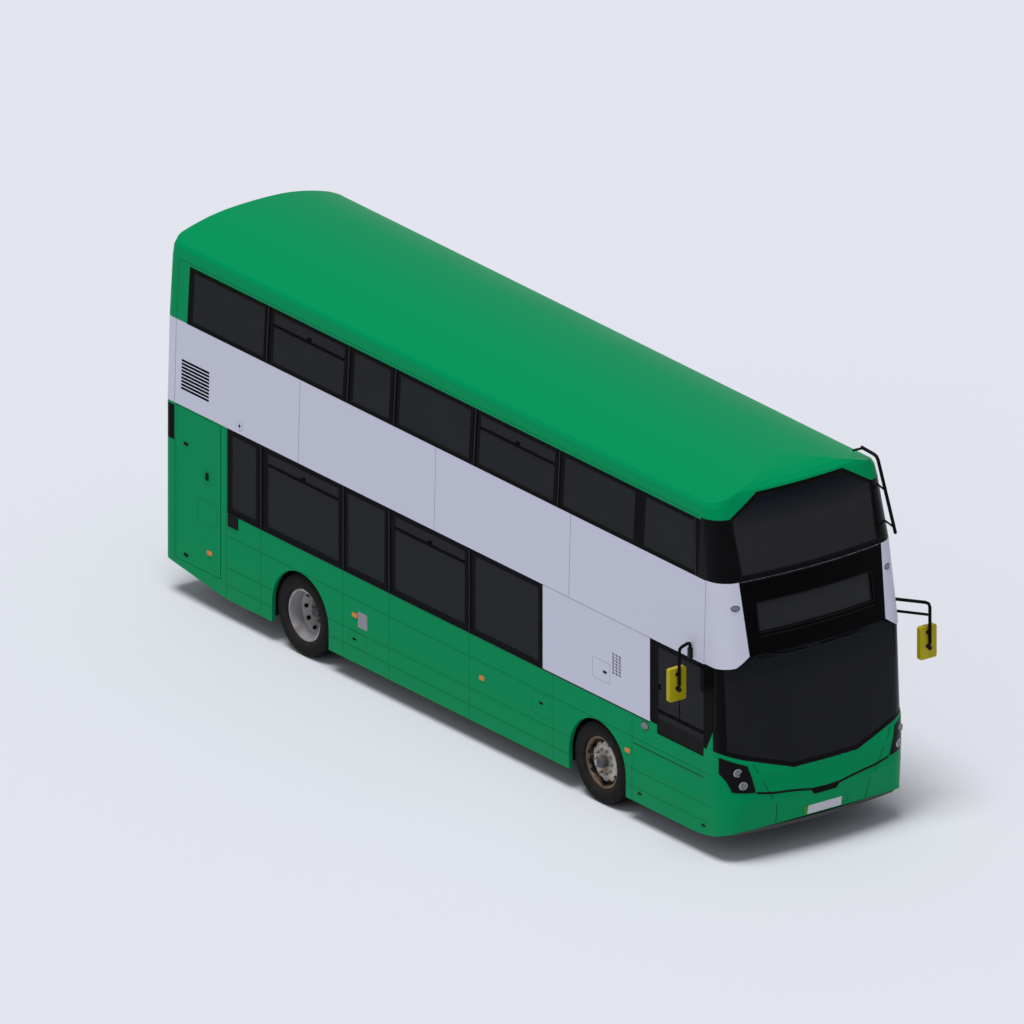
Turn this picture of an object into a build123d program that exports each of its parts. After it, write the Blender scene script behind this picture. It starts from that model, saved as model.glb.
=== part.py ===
from build123d import *
from math import cos, radians, sin, sqrt
import os

# Double-decker city bus with a low floor, one staircase and a two-leaf gliding entrance door.
#
# Frame: origin on the ground, on the centreline, at mid length. The front faces -Y, the entrance
# door is on the +X side (nearside), the driver sits on the -X side (offside) and +Z is up.
# All sizes are in millimetres.

os.makedirs("parts", exist_ok=True)

# ---------------------------------------------------------------- overall sizes
body_length = 10580           # front-most point of the panels to the rear panel
half_width = 1260             # half the width over the lower panels
waist_tuck = 28               # how far the sides lean in at the foot of the upper windows
cantrail_tuck = 70            # how far the sides lean in at the roof's edge
waist_half_width = half_width - waist_tuck
cantrail_half_width = half_width - cantrail_tuck
skirt_z = 250                 # lower edge of the skirt
deck_split_z = 2300           # joint between the lower and the upper side panels
waist_z = 3300                # joint under the upper windscreen
cantrail_z = 4000             # joint between the upper side panels and the roof
roof_top_z = 4370
wall = 48                     # thickness of the side, end and roof panels
skin_gap = 4                  # glass stands this far inside the outer skin
glass_thickness = 10

front_y = -body_length / 2
rear_y = front_y + body_length

# ---------------------------------------------------------------- running gear sizes
link_gap = 0.3
front_axle_back = 2560        # front-most point to the front axle
wheelbase = 5490
tyre_radius = 478.5
tyre_width = 275
rim_radius = 286              # tyre bead seat
wheel_track_half = 1100       # centre of a front tyre, and of an outer rear tyre
twin_spacing = 310            # between the centres of two twin tyres
kingpin_x = 905
steer_arm = 170               # kingpin to tie-rod ball
arch_radius = 525             # opening in the side panel
axle_tube_radius = 50

front_axle_y = front_y + front_axle_back
rear_axle_y = front_axle_y + wheelbase

# ---------------------------------------------------------------- floors and inner walls
low_floor_z = 360             # top of the low floor
floor_plate = 40
rear_floor_z = 720            # top of the raised rear floor
rear_step_back = 7230         # front-most point to the rise of the floor
upper_floor_z = 2500          # top of the upper floor
upper_floor_plate = 80
bulkhead_back = 9440          # front-most point to the rear bulkhead
bulkhead_plate = 30
seat_joint = 20               # cushion let into the foot of its back

# ---------------------------------------------------------------- openings in the sides
side_split_back = 430         # joint between the front panels and the lower sides
upper_split_back = 590        # joint between the destination panel and the upper sides
frame_split_back = 740        # joint between the upper front frame and the upper sides
rear_split = 200              # joint ahead of the rear panel
lower_glass_z = (1360, 2240)
upper_glass_z = (3340, 3920)
offside_lower = [(3650, 4830), (5010, 6310), (6490, 7180), (7340, 8660), (8870, 9320)]
nearside_lower = [(1980, 3250), (3420, 4830), (5010, 6310), (6490, 7180), (7340, 8660), (8870, 9320)]
upper_windows = [(1940, 3250), (3420, 4810), (4980, 6290), (6460, 7140), (7310, 8620), (8780, 10100)]
front_upper_window = (800, 1760)
window_slant = 60             # lean of the foremost upper window's front edge
window_corner = 16
cab_window = (600, 1450)
cab_glass_z = (1200, 2240)
door_back = (580, 1780)       # entrance doorway
door_z = (low_floor_z, 2250)
side_door_back = (9515, 10350)
side_door_z = (450, 2285)
door_gap = 6                  # round the edge of a hinged panel
hinge_gap = 14                # above the lid's top edge, so that it can turn
hinge_pin = 6
hinge_hole = hinge_pin + 0.05
pin_reach = 12                # hinge pin into the panel beside it


def along(back):
    """Y of a point that lies this far behind the front-most point of the panels."""
    return front_y + back


def pane(span, z_span, corner):
    """Rounded rectangle in side view, from its distances behind the front and its heights."""
    with BuildSketch(Plane.YZ) as shape:
        with Locations(((along(span[0]) + along(span[1])) / 2, sum(z_span) / 2)):
            Rectangle(span[1] - span[0], z_span[1] - z_span[0])
        if corner:
            fillet(shape.vertices(), corner)
    return shape.sketch


def slanted_pane(span, z_span, corner):
    """The foremost upper window: its front edge leans back with the windscreen pillar."""
    with BuildSketch(Plane.YZ) as shape:
        with BuildLine():
            Polyline(
                (along(span[0]), z_span[0]),
                (along(span[1]), z_span[0]),
                (along(span[1]), z_span[1]),
                (along(span[0]) + window_slant, z_span[1]),
                close=True,
            )
        make_face()
        fillet(shape.vertices(), corner)
    return shape.sketch


def arch_face(centre_y, radius, foot_z):
    """Side view of a wheel arch: a half circle over the axle with straight sides down to foot_z."""
    with BuildSketch(Plane.YZ) as shape:
        with Locations((centre_y, tyre_radius)):
            Circle(radius)
        with Locations((centre_y, (tyre_radius + foot_z) / 2)):
            Rectangle(2 * radius, tyre_radius - foot_z)
        with Locations((centre_y, foot_z)):
            Rectangle(4 * radius, 4 * radius, align=(Align.CENTER, Align.MAX), mode=Mode.SUBTRACT)
    return shape.sketch


def across(face, x_from, x_to):
    """Solid between two X positions with the given side view."""
    with BuildPart() as solid:
        extrude(face.moved(Location((x_from, 0, 0))), amount=x_to - x_from)
    return solid.part


# ---------------------------------------------------------------- outer shape of the two ends
bow_radius = 6400             # plan bow of the front
rear_corner = 120
approach_back = 830           # skirt starts to rise this far behind the front
approach_radius = 1860
departure_back = 9430         # skirt starts to rise towards the rear
departure_rise = 170
# each level of the front: height, setback from the front-most point, half width, corner radius
lower_levels = [
    (skirt_z, 90, half_width, 230),
    (410, 80, half_width, 240),
    (720, 10, half_width, 330),
    (1050, 0, half_width, 350),
    (2450, 180, half_width, 140),
]
panel_levels = [(deck_split_z - 20, 67, half_width, 300), (waist_z, 230, waist_half_width, 280)]
screen_levels = [
    (waist_z, 232, waist_half_width, 280),
    (cantrail_z, 409, cantrail_half_width, 240),
    (4120, 440, 1166, 230),
    (4210, 465, 1100, 210),
    (4262, 490, 1010, 200),
]
# the roof is a shallow arch between two rounded shoulders
roof_arch_radius = 3300
shoulder_half = 1172          # half width where the side line would meet the arch
shoulder_radius = 95
# plan of the roof's ends at each level: height, setback, half width, front corner radius, rear setback
roof_levels = [
    (cantrail_z, 409, cantrail_half_width, 240, 0),
    (4120, 440, 1170, 230, 0),
    (4210, 465, 1110, 210, 2),
    (4262, 490, 1030, 200, 5),
    (4310, 560, 950, 180, 10),
    (4345, 700, 850, 150, 22),
    (roof_top_z, 950, 700, 120, 45),
]
# corners of the front's dividing lines, from the centreline outwards: X, Z
screen_sill = [(440, 1060), (half_width + 60, 1330)]
apron_edge = [(half_width - 310, 2450), (half_width - 150, 2340), (half_width + 60, deck_split_z)]
roof_edge = [(600, 4235), (985, cantrail_z), (half_width + 60, cantrail_z)]


def end_outline(z, nose_y, tail_y, half, corner):
    """Plan outline of a front block at height z: bowed nose, rounded corners, straight tail."""
    corner_y = nose_y + bow_radius - sqrt(bow_radius**2 - half**2)
    with BuildSketch(Plane.XY.offset(z)) as outline:
        with BuildLine():
            ThreePointArc((-half, corner_y), (0, nose_y), (half, corner_y))
            Polyline((half, corner_y), (half, tail_y), (-half, tail_y), (-half, corner_y))
        make_face()
        fillet(outline.vertices().group_by(Axis.Y)[0], corner)
    return outline.sketch


def front_block(levels, tail_back, inset=0):
    """Block behind the front skin, or behind a skin set in by inset."""
    outlines = [
        end_outline(z, along(setback) + inset, along(tail_back + 250), half - inset, corner - inset)
        for z, setback, half, corner in levels
    ]
    with BuildPart() as block:
        loft(outlines, ruled=True)
        split(bisect_by=Plane.XZ.offset(-along(tail_back)), keep=Keep.TOP)
    return block.part


def rear_block(levels, nose_y, inset=0):
    """Block ahead of the rear skin, lofted through (z, half width) levels."""
    outlines = []
    for z, half in levels:
        with BuildSketch(Plane.XY.offset(z)) as outline:
            with Locations((0, (nose_y + rear_y - inset) / 2)):
                Rectangle(2 * (half - inset), rear_y - inset - nose_y)
            fillet(outline.vertices().group_by(Axis.Y)[-1], rear_corner - inset / 2)
        outlines.append(outline.sketch)
    with BuildPart() as block:
        loft(outlines, ruled=True)
    return block.part


def skirt_cut():
    """Everything under the lower edge of the skirt, across the whole width."""
    rise = approach_radius - sqrt(approach_radius**2 - approach_back**2)
    with BuildPart() as cut:
        with BuildSketch(Plane.YZ.offset(-half_width - 50)):
            with BuildLine():
                RadiusArc((along(0), skirt_z + rise), (along(approach_back), skirt_z), -approach_radius)
                Polyline(
                    (along(approach_back), skirt_z),
                    (along(departure_back), skirt_z),
                    (rear_y + 50, skirt_z + departure_rise),
                    (rear_y + 50, -50),
                    (along(-50), -50),
                    (along(-50), skirt_z + rise),
                    (along(0), skirt_z + rise),
                )
            make_face()
        extrude(amount=2 * (half_width + 50))
    return cut.part


def front_view(points, tail_back, nose_back=-300):
    """Prism with the given X, Z corners seen from the front, between two distances behind the front."""
    with BuildPart() as prism:
        with BuildSketch(Plane.XZ.offset(-along(tail_back))):
            with BuildLine():
                Polyline(*points, close=True)
            make_face()
        extrude(amount=tail_back - nose_back)
    return prism.part


def above(half_points):
    """Corners of the region above a line that is symmetric about the centreline."""
    left = [(-x, z) for x, z in reversed(half_points)]
    return left + list(half_points) + [(half_points[-1][0], 4600), (left[0][0], 4600)]


def frame_opening(half, z_span):
    """Corners of a rectangle in front view, centred on the centreline."""
    return [(-half, z_span[0]), (half, z_span[0]), (half, z_span[1]), (-half, z_span[1])]


below_skirt = skirt_cut()
above_sill = front_view(above(screen_sill), side_split_back + 50)
above_apron = front_view(above(apron_edge), upper_split_back + 50)

# ---------------------------------------------------------------- front lower panel
lower_skin = front_block(lower_levels, side_split_back)
lower_core = front_block(lower_levels, side_split_back + 1, wall)
with BuildPart() as front_lower_panel:
    add(lower_skin)
    add(lower_core, mode=Mode.SUBTRACT)
    add(above_sill, mode=Mode.SUBTRACT)
    add(below_skirt, mode=Mode.SUBTRACT)
front_lower_panel.part.label = "front_lower_panel"
export_step(front_lower_panel.part, "parts/front_lower_panel.step")

# ---------------------------------------------------------------- lower windscreen
screen_skin = front_block(lower_levels, side_split_back, skin_gap)
screen_core = front_block(lower_levels, side_split_back + 1, skin_gap + glass_thickness)
with BuildPart() as lower_windscreen:
    add(screen_skin)
    add(screen_core, mode=Mode.SUBTRACT)
    add(above_sill, mode=Mode.INTERSECT)
    add(above_apron, mode=Mode.SUBTRACT)
lower_windscreen.part.label = "lower_windscreen"
export_step(lower_windscreen.part, "parts/lower_windscreen.step")

# ---------------------------------------------------------------- destination panel between decks
sign_z = (2700, 3030)
sign_half = 790
panel_skin = front_block(panel_levels, upper_split_back)
panel_core = front_block(panel_levels, upper_split_back + 1, wall)
sign_opening = front_view(frame_opening(sign_half, sign_z), upper_split_back - 10)
with BuildPart() as destination_panel:
    add(panel_skin)
    add(panel_core, mode=Mode.SUBTRACT)
    add(above_apron, mode=Mode.INTERSECT)
    add(sign_opening, mode=Mode.SUBTRACT)
destination_panel.part.label = "destination_panel"
export_step(destination_panel.part, "parts/destination_panel.step")

# ---------------------------------------------------------------- upper front frame and windscreen
frame_skin = front_block(screen_levels, frame_split_back)
frame_core = front_block(screen_levels, frame_split_back + 1, wall)
above_roof_edge = front_view(above(roof_edge), frame_split_back + 50)
screen_hole = [(944, 3350), (968, 3985), (575, 4195), (-575, 4195), (-968, 3985), (-944, 3350)]
screen_opening = front_view(screen_hole, frame_split_back - 60)
with BuildPart() as upper_front_frame:
    add(frame_skin)
    add(frame_core, mode=Mode.SUBTRACT)
    add(above_roof_edge, mode=Mode.SUBTRACT)
    add(screen_opening, mode=Mode.SUBTRACT)
upper_front_frame.part.label = "upper_front_frame"
export_step(upper_front_frame.part, "parts/upper_front_frame.step")

upper_glass_skin = front_block(screen_levels, frame_split_back, skin_gap)
upper_glass_core = front_block(screen_levels, frame_split_back + 1, skin_gap + glass_thickness)
with BuildPart() as upper_windscreen:
    add(upper_glass_skin)
    add(upper_glass_core, mode=Mode.SUBTRACT)
    add(screen_opening, mode=Mode.INTERSECT)
upper_windscreen.part.label = "upper_windscreen"
export_step(upper_windscreen.part, "parts/upper_windscreen.step")

# ---------------------------------------------------------------- destination display
sign_glass_skin = front_block(panel_levels, upper_split_back, 25)
sign_glass_core = front_block(panel_levels, upper_split_back + 1, 25 + glass_thickness)
with BuildPart() as destination_display:
    add(sign_glass_skin)
    add(sign_glass_core, mode=Mode.SUBTRACT)
    add(sign_opening, mode=Mode.INTERSECT)
destination_display.part.label = "destination_display"
export_step(destination_display.part, "parts/destination_display.step")

# ---------------------------------------------------------------- roof
def roof_block(inset):
    """Block under the roof's skin, or under a skin set in by inset: an arched section with rounded ends."""
    outlines = []
    for z, setback, half, corner, tail_in in roof_levels:
        nose_y = along(setback) + inset
        tail_y = rear_y - tail_in - inset
        side = half - inset
        corner_y = nose_y + bow_radius - sqrt(bow_radius**2 - side**2)
        with BuildSketch(Plane.XY.offset(z - inset)) as outline:
            with BuildLine():
                ThreePointArc((-side, corner_y), (0, nose_y), (side, corner_y))
                Polyline((side, corner_y), (side, tail_y), (-side, tail_y), (-side, corner_y))
            make_face()
            fillet(outline.vertices().group_by(Axis.Y)[0], corner)
            fillet(outline.vertices().group_by(Axis.Y)[-1], rear_corner)
        outlines.append(outline.sketch)
    arch = roof_arch_radius - inset
    side = shoulder_half - inset
    top_z = roof_top_z - inset
    shoulder_z = top_z - arch + sqrt(arch**2 - side**2)
    with BuildPart() as block:
        loft(outlines, ruled=True)
        with BuildSketch(Plane.XZ.offset(-rear_y)) as section:
            with BuildLine():
                ThreePointArc((-side, shoulder_z), (0, top_z), (side, shoulder_z))
                Polyline(
                    (side, shoulder_z), (cantrail_half_width - inset, cantrail_z),
                    (cantrail_half_width - inset, cantrail_z - wall),
                    (inset - cantrail_half_width, cantrail_z - wall),
                    (inset - cantrail_half_width, cantrail_z), (-side, shoulder_z),
                )
            make_face()
            fillet(section.vertices().sort_by(Axis.Y)[-2:], shoulder_radius - inset / 2)
        extrude(amount=body_length, mode=Mode.INTERSECT)
    return block.part


roof_skin = roof_block(0)
roof_core = roof_block(wall)
roof_front_cut = front_view(
    [(-x, z) for x, z in reversed(roof_edge)] + roof_edge
    + [(half_width + 60, cantrail_z - 200), (-half_width - 60, cantrail_z - 200)],
    frame_split_back,
)
with BuildPart() as roof:
    add(roof_skin)
    add(roof_core, mode=Mode.SUBTRACT)
    add(roof_front_cut, mode=Mode.SUBTRACT)
roof.part.label = "roof"
export_step(roof.part, "parts/roof.step")

# ---------------------------------------------------------------- lower side panels
def lower_side_wall():
    """The offside lower wall without its openings."""
    with BuildPart() as side:
        with BuildSketch(Plane.XZ.offset(-along(side_split_back))):
            with Locations((-half_width + wall / 2, (skirt_z + deck_split_z) / 2)):
                Rectangle(wall, deck_split_z - skirt_z)
        extrude(amount=-(rear_y - rear_split - along(side_split_back)))
        add(below_skirt, mode=Mode.SUBTRACT)
    return side.part


def through_side(face):
    """Prism through the offside walls with the given side view."""
    return across(face, -half_width - 60, -half_width + 200)


# the offside engine door turns on pins near its front upright edge
side_leaf_thickness = 36
side_leaf_y = (along(side_door_back[0]) + hinge_gap, along(side_door_back[1]) - door_gap)
side_hinge_y = side_leaf_y[0] + side_leaf_thickness / 2


def side_hinge_pin(radius):
    """Cylinder on the offside engine door's hinge axis, reaching into the panel at both ends."""
    with BuildPart() as pin:
        with BuildSketch(Plane.XY.offset(side_door_z[0] - pin_reach)):
            with Locations((-half_width + side_leaf_thickness / 2, side_hinge_y)):
                Circle(radius)
        extrude(amount=side_door_z[1] - side_door_z[0] + 2 * pin_reach)
    return pin.part


front_arch = arch_face(front_axle_y, arch_radius, 0)
rear_arch = arch_face(rear_axle_y, arch_radius, 0)
arch_cuts = [through_side(front_arch), through_side(rear_arch)]
offside_lower_cuts = [through_side(pane(span, lower_glass_z, window_corner)) for span in offside_lower]
offside_lower_cuts.append(through_side(pane(cab_window, cab_glass_z, window_corner)))
offside_lower_cuts.append(through_side(pane(side_door_back, side_door_z, 12)))
side_pin_hole = side_hinge_pin(hinge_hole)
with BuildPart() as offside_lower_side:
    add(lower_side_wall())
    for cut in arch_cuts + offside_lower_cuts:
        add(cut, mode=Mode.SUBTRACT)
    add(side_pin_hole, mode=Mode.SUBTRACT)
offside_lower_side.part.label = "offside_lower_side"
export_step(offside_lower_side.part, "parts/offside_lower_side.step")

nearside_wall = lower_side_wall()
nearside_cuts = [through_side(pane(span, lower_glass_z, window_corner)) for span in nearside_lower]
nearside_cuts.append(through_side(pane(door_back, door_z, 8)))
with BuildPart() as nearside_lower_side:
    add(nearside_wall)
    for cut in arch_cuts + nearside_cuts:
        add(cut, mode=Mode.SUBTRACT)
    mirror(about=Plane.YZ, mode=Mode.REPLACE)
nearside_lower_side.part.label = "nearside_lower_side"
export_step(nearside_lower_side.part, "parts/nearside_lower_side.step")

# ---------------------------------------------------------------- upper side panels
def upper_side_section(inset, thickness):
    """Section of the offside upper wall, leaning in from the deck joint to the cantrail."""
    outer = [(-half_width, deck_split_z), (-waist_half_width, waist_z), (-cantrail_half_width, cantrail_z)]
    near = [(x + inset, z) for x, z in outer]
    far = [(x + inset + thickness, z) for x, z in reversed(outer)]
    with BuildSketch(Plane.XZ.offset(-along(upper_split_back))) as section:
        with BuildLine():
            Polyline(*near, *far, close=True)
        make_face()
    return section.sketch


def upper_side_slab(inset, thickness, tail_y):
    """Offside upper wall, or a skin inside it, from the front joint to tail_y."""
    section = upper_side_section(inset, thickness)
    with BuildPart() as slab:
        extrude(section, amount=-(tail_y - along(upper_split_back)))
    return slab.part


upper_faces = [pane(span, upper_glass_z, window_corner) for span in upper_windows]
upper_faces.append(slanted_pane(front_upper_window, upper_glass_z, window_corner))
upper_cuts = [through_side(face) for face in upper_faces]
# louvre slots behind the last upper window of the offside
louvre_back = (9750, 10260)
louvre_z = (2490, 2860)
louvre_count = 9
louvre_slot = 22
louvre_depth = 30
louvre_pitch = (louvre_z[1] - louvre_z[0]) / louvre_count
with BuildPart() as louvre_slots:
    with BuildSketch(Plane.YZ.offset(-half_width - 5)):
        with Locations((along(sum(louvre_back) / 2), sum(louvre_z) / 2)):
            with GridLocations(0, louvre_pitch, 1, louvre_count):
                Rectangle(louvre_back[1] - louvre_back[0], louvre_slot)
    extrude(amount=5 + (half_width - waist_half_width) * 0.56 + louvre_depth)
front_notch = through_side(pane((0, frame_split_back), (waist_z, cantrail_z + 100), 0))
upper_wall = upper_side_slab(0, wall, rear_y - rear_split)
with BuildPart() as offside_upper_side:
    add(upper_wall)
    for cut in upper_cuts:
        add(cut, mode=Mode.SUBTRACT)
    add(front_notch, mode=Mode.SUBTRACT)
upper_side = offside_upper_side.part
with BuildPart() as nearside_upper_side:
    add(upper_side)
    mirror(about=Plane.YZ, mode=Mode.REPLACE)
with BuildPart() as offside_upper_side:
    add(upper_side)
    add(louvre_slots.part, mode=Mode.SUBTRACT)
offside_upper_side.part.label = "offside_upper_side"
export_step(offside_upper_side.part, "parts/offside_upper_side.step")

nearside_upper_side.part.label = "nearside_upper_side"
export_step(nearside_upper_side.part, "parts/nearside_upper_side.step")

# ---------------------------------------------------------------- side windows
def lower_pane_solid(face):
    """Offside lower pane with the given side view, set just inside the skin."""
    return across(face, -half_width + skin_gap, -half_width + skin_gap + glass_thickness)


upper_glass_slab = upper_side_slab(skin_gap, glass_thickness, rear_y - rear_split)
offside_faces = [pane(span, lower_glass_z, window_corner) for span in offside_lower]
offside_faces.append(pane(cab_window, cab_glass_z, window_corner))
offside_panes = [lower_pane_solid(face) for face in offside_faces]
with BuildPart() as upper_panes:
    for cut in upper_cuts:
        add(cut)
    add(upper_glass_slab, mode=Mode.INTERSECT)
with BuildPart() as offside_windows:
    for solid in offside_panes:
        add(solid)
    add(upper_panes.part)
offside_windows.part.label = "offside_windows"
export_step(offside_windows.part, "parts/offside_windows.step")

nearside_panes = [lower_pane_solid(pane(span, lower_glass_z, window_corner)) for span in nearside_lower]
with BuildPart() as nearside_windows:
    for solid in nearside_panes:
        add(solid)
    add(upper_panes.part)
    mirror(about=Plane.YZ, mode=Mode.REPLACE)
nearside_windows.part.label = "nearside_windows"
export_step(nearside_windows.part, "parts/nearside_windows.step")

# ---------------------------------------------------------------- rear panel, engine door and rear window
rear_levels = [(skirt_z, half_width), (deck_split_z, half_width), (waist_z, waist_half_width),
               (cantrail_z, cantrail_half_width)]
engine_door_half = 900
engine_door_z = (470, 1760)
rear_window_half = 860
rear_window_z = (3360, 3900)
lamp_x = 1085
lamp_radius = 48
lamp_z = [1270, 1430, 1590]


def rear_opening(half, z_span, corner):
    """Prism through the rear wall with a rounded rectangle as its rear view."""
    with BuildPart() as prism:
        with BuildSketch(Plane.XZ.offset(-(rear_y - rear_split))):
            with Locations((0, sum(z_span) / 2)):
                RectangleRounded(2 * half, z_span[1] - z_span[0], corner)
        extrude(amount=-(rear_split + 100))
    return prism.part


rear_skin = rear_block(rear_levels, rear_y - rear_split)
rear_core = rear_block(rear_levels, rear_y - rear_split - 1, wall)
engine_hole = rear_opening(engine_door_half + door_gap,
                           (engine_door_z[0] - door_gap, engine_door_z[1] + hinge_gap), 30)
rear_hole = rear_opening(rear_window_half, rear_window_z, 60)


def lamp_row(radius, front_y_of_lamp, depth):
    """The three round lamps at each rear corner, as cylinders along Y."""
    with BuildPart() as lamps:
        with BuildSketch(Plane.XZ.offset(-front_y_of_lamp)):
            with Locations(*[(x, z) for x in (-lamp_x, lamp_x) for z in lamp_z]):
                Circle(radius)
        extrude(amount=-depth)
    return lamps.part


# the engine lid is hinged near its top edge, on an axis in the middle of its thickness
lid_thickness = 36
lid_louvres = 8
engine_hinge_y = rear_y - lid_thickness / 2
engine_hinge_z = engine_door_z[1] - lid_thickness / 2


def engine_hinge_pin(radius):
    """Cylinder on the engine lid's hinge axis, reaching into the panel at both ends."""
    with BuildPart() as pin:
        with BuildSketch(Plane.YZ.offset(-engine_door_half - door_gap - pin_reach)):
            with Locations((engine_hinge_y, engine_hinge_z)):
                Circle(radius)
        extrude(amount=2 * (engine_door_half + door_gap + pin_reach))
    return pin.part


engine_pin_hole = engine_hinge_pin(hinge_hole)
lamp_holes = lamp_row(lamp_radius + 1, rear_y - 100, 150)
with BuildPart() as rear_panel:
    add(rear_skin)
    add(rear_core, mode=Mode.SUBTRACT)
    add(engine_hole, mode=Mode.SUBTRACT)
    add(rear_hole, mode=Mode.SUBTRACT)
    add(lamp_holes, mode=Mode.SUBTRACT)
    add(engine_pin_hole, mode=Mode.SUBTRACT)
    add(below_skirt, mode=Mode.SUBTRACT)
rear_panel.part.label = "rear_panel"
export_step(rear_panel.part, "parts/rear_panel.step")

rear_glass_skin = rear_block(rear_levels, rear_y - rear_split, skin_gap)
rear_glass_core = rear_block(rear_levels, rear_y - rear_split - 1, skin_gap + glass_thickness)
with BuildPart() as rear_window:
    add(rear_glass_skin)
    add(rear_glass_core, mode=Mode.SUBTRACT)
    add(rear_hole, mode=Mode.INTERSECT)
rear_window.part.label = "rear_window"
export_step(rear_window.part, "parts/rear_window.step")

rear_lamps = lamp_row(lamp_radius + 1, rear_y - 40, 38)
rear_lamps.label = "rear_lamps"
export_step(rear_lamps, "parts/rear_lamps.step")

engine_pin = engine_hinge_pin(hinge_pin)
with BuildPart() as engine_door:
    with BuildSketch(Plane.XZ.offset(-(rear_y - lid_thickness))):
        with Locations((0, sum(engine_door_z) / 2)):
            RectangleRounded(2 * engine_door_half, engine_door_z[1] - engine_door_z[0], 30)
    extrude(amount=-lid_thickness)
    with BuildSketch(Plane.XZ.offset(-rear_y)):
        with Locations((0, 1350)):
            with GridLocations(0, 60, 1, lid_louvres):
                SlotOverall(1300, 30)
    extrude(amount=12, mode=Mode.SUBTRACT)
    add(engine_pin)
engine_door.part.label = "engine_door"
export_step(engine_door.part, "parts/engine_door.step")

# ---------------------------------------------------------------- offside engine door
with BuildPart() as side_engine_door:
    with BuildSketch(Plane.YZ.offset(-half_width)):
        with Locations(((side_leaf_y[0] + side_leaf_y[1]) / 2, sum(side_door_z) / 2)):
            RectangleRounded(side_leaf_y[1] - side_leaf_y[0],
                             side_door_z[1] - side_door_z[0] - 2 * door_gap, 10)
    extrude(amount=side_leaf_thickness)
    add(side_hinge_pin(hinge_pin))
side_engine_door.part.label = "side_engine_door"
export_step(side_engine_door.part, "parts/side_engine_door.step")

# ---------------------------------------------------------------- wheel arch housings
front_housing_radius = 600    # inner radius, clears the steered tyre
rear_housing_radius = 530
housing_plate = 14
housing_inner_x = 620
housing_foot_z = 300


def housing(axle_y, radius):
    """Box over one offside wheel, open below and to the outside."""
    outer_face = arch_face(axle_y, radius + housing_plate, housing_foot_z)
    inner_face = arch_face(axle_y, radius, housing_foot_z - 10)
    outer = across(outer_face, -half_width + wall, -housing_inner_x + housing_plate)
    inner = across(inner_face, -half_width + wall - 10, -housing_inner_x)
    with BuildPart() as box:
        add(outer)
        add(inner, mode=Mode.SUBTRACT)
    return box.part


front_housing = housing(front_axle_y, front_housing_radius)
rear_housing = housing(rear_axle_y, rear_housing_radius)
axle_slot = across(arch_face(rear_axle_y, axle_tube_radius + 30, 0),
                   -housing_inner_x - 5, -housing_inner_x + 30)
with BuildPart() as wheel_arches:
    add(front_housing)
    add(rear_housing)
    add(axle_slot, mode=Mode.SUBTRACT)
    mirror(about=Plane.YZ)
wheel_arches.part.label = "wheel_arches"
export_step(wheel_arches.part, "parts/wheel_arches.step")

# ---------------------------------------------------------------- lower floor
housing_clear = 1
wall_clear = 4                # inner fittings stand clear of the leaning side walls
inner_half = half_width - wall
rear_step_y = along(rear_step_back)
bulkhead_y = along(bulkhead_back)
floor_front_back = 140
floor_front_y = along(floor_front_back)


def arch_cut(axle_y, radius):
    """Prism round one pair of wheel housings, across the floor's edge."""
    face = arch_face(axle_y, radius + housing_plate + housing_clear, 0)
    return across(face, -half_width, -housing_inner_x + housing_plate + housing_clear)


floor_cuts = [arch_cut(front_axle_y, front_housing_radius), arch_cut(rear_axle_y, rear_housing_radius)]
with BuildPart() as offside_floor_cuts:
    for cut in floor_cuts:
        add(cut)
floor_outline = end_outline(low_floor_z - floor_plate, along(floor_front_back), bulkhead_y, inner_half, 190)
with BuildPart() as floor_bounds:
    extrude(floor_outline, amount=rear_floor_z)
with BuildPart() as lower_floor:
    with BuildSketch(Plane.YZ.offset(-inner_half)):
        with BuildLine():
            Polyline(
                (floor_front_y, low_floor_z),
                (rear_step_y, low_floor_z),
                (rear_step_y, rear_floor_z),
                (bulkhead_y, rear_floor_z),
                (bulkhead_y, rear_floor_z - floor_plate),
                (rear_step_y + floor_plate, rear_floor_z - floor_plate),
                (rear_step_y + floor_plate, low_floor_z - floor_plate),
                (floor_front_y, low_floor_z - floor_plate),
                close=True,
            )
        make_face()
    extrude(amount=2 * inner_half)
    add(offside_floor_cuts.part, mode=Mode.SUBTRACT)
    add(offside_floor_cuts.part.mirror(Plane.YZ), mode=Mode.SUBTRACT)
    add(floor_bounds.part, mode=Mode.INTERSECT)
lower_floor.part.label = "lower_floor"
export_step(lower_floor.part, "parts/lower_floor.step")

# ---------------------------------------------------------------- rear bulkhead
with BuildPart() as rear_bulkhead:
    with BuildSketch(Plane.XZ.offset(-bulkhead_y)):
        with Locations((0, (rear_floor_z - floor_plate + upper_floor_z - upper_floor_plate) / 2)):
            Rectangle(2 * (inner_half - wall_clear),
                      upper_floor_z - upper_floor_plate - rear_floor_z + floor_plate)
    extrude(amount=-bulkhead_plate)
rear_bulkhead.part.label = "rear_bulkhead"
export_step(rear_bulkhead.part, "parts/rear_bulkhead.step")

# ---------------------------------------------------------------- staircase and upper floor
stair_foot_back = 3710        # face of the first riser
stair_risers = 9
stair_going = 235
stair_plate = 30
stair_inner_x = 620           # open side of the stairs
riser = (upper_floor_z - low_floor_z) / stair_risers


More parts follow.
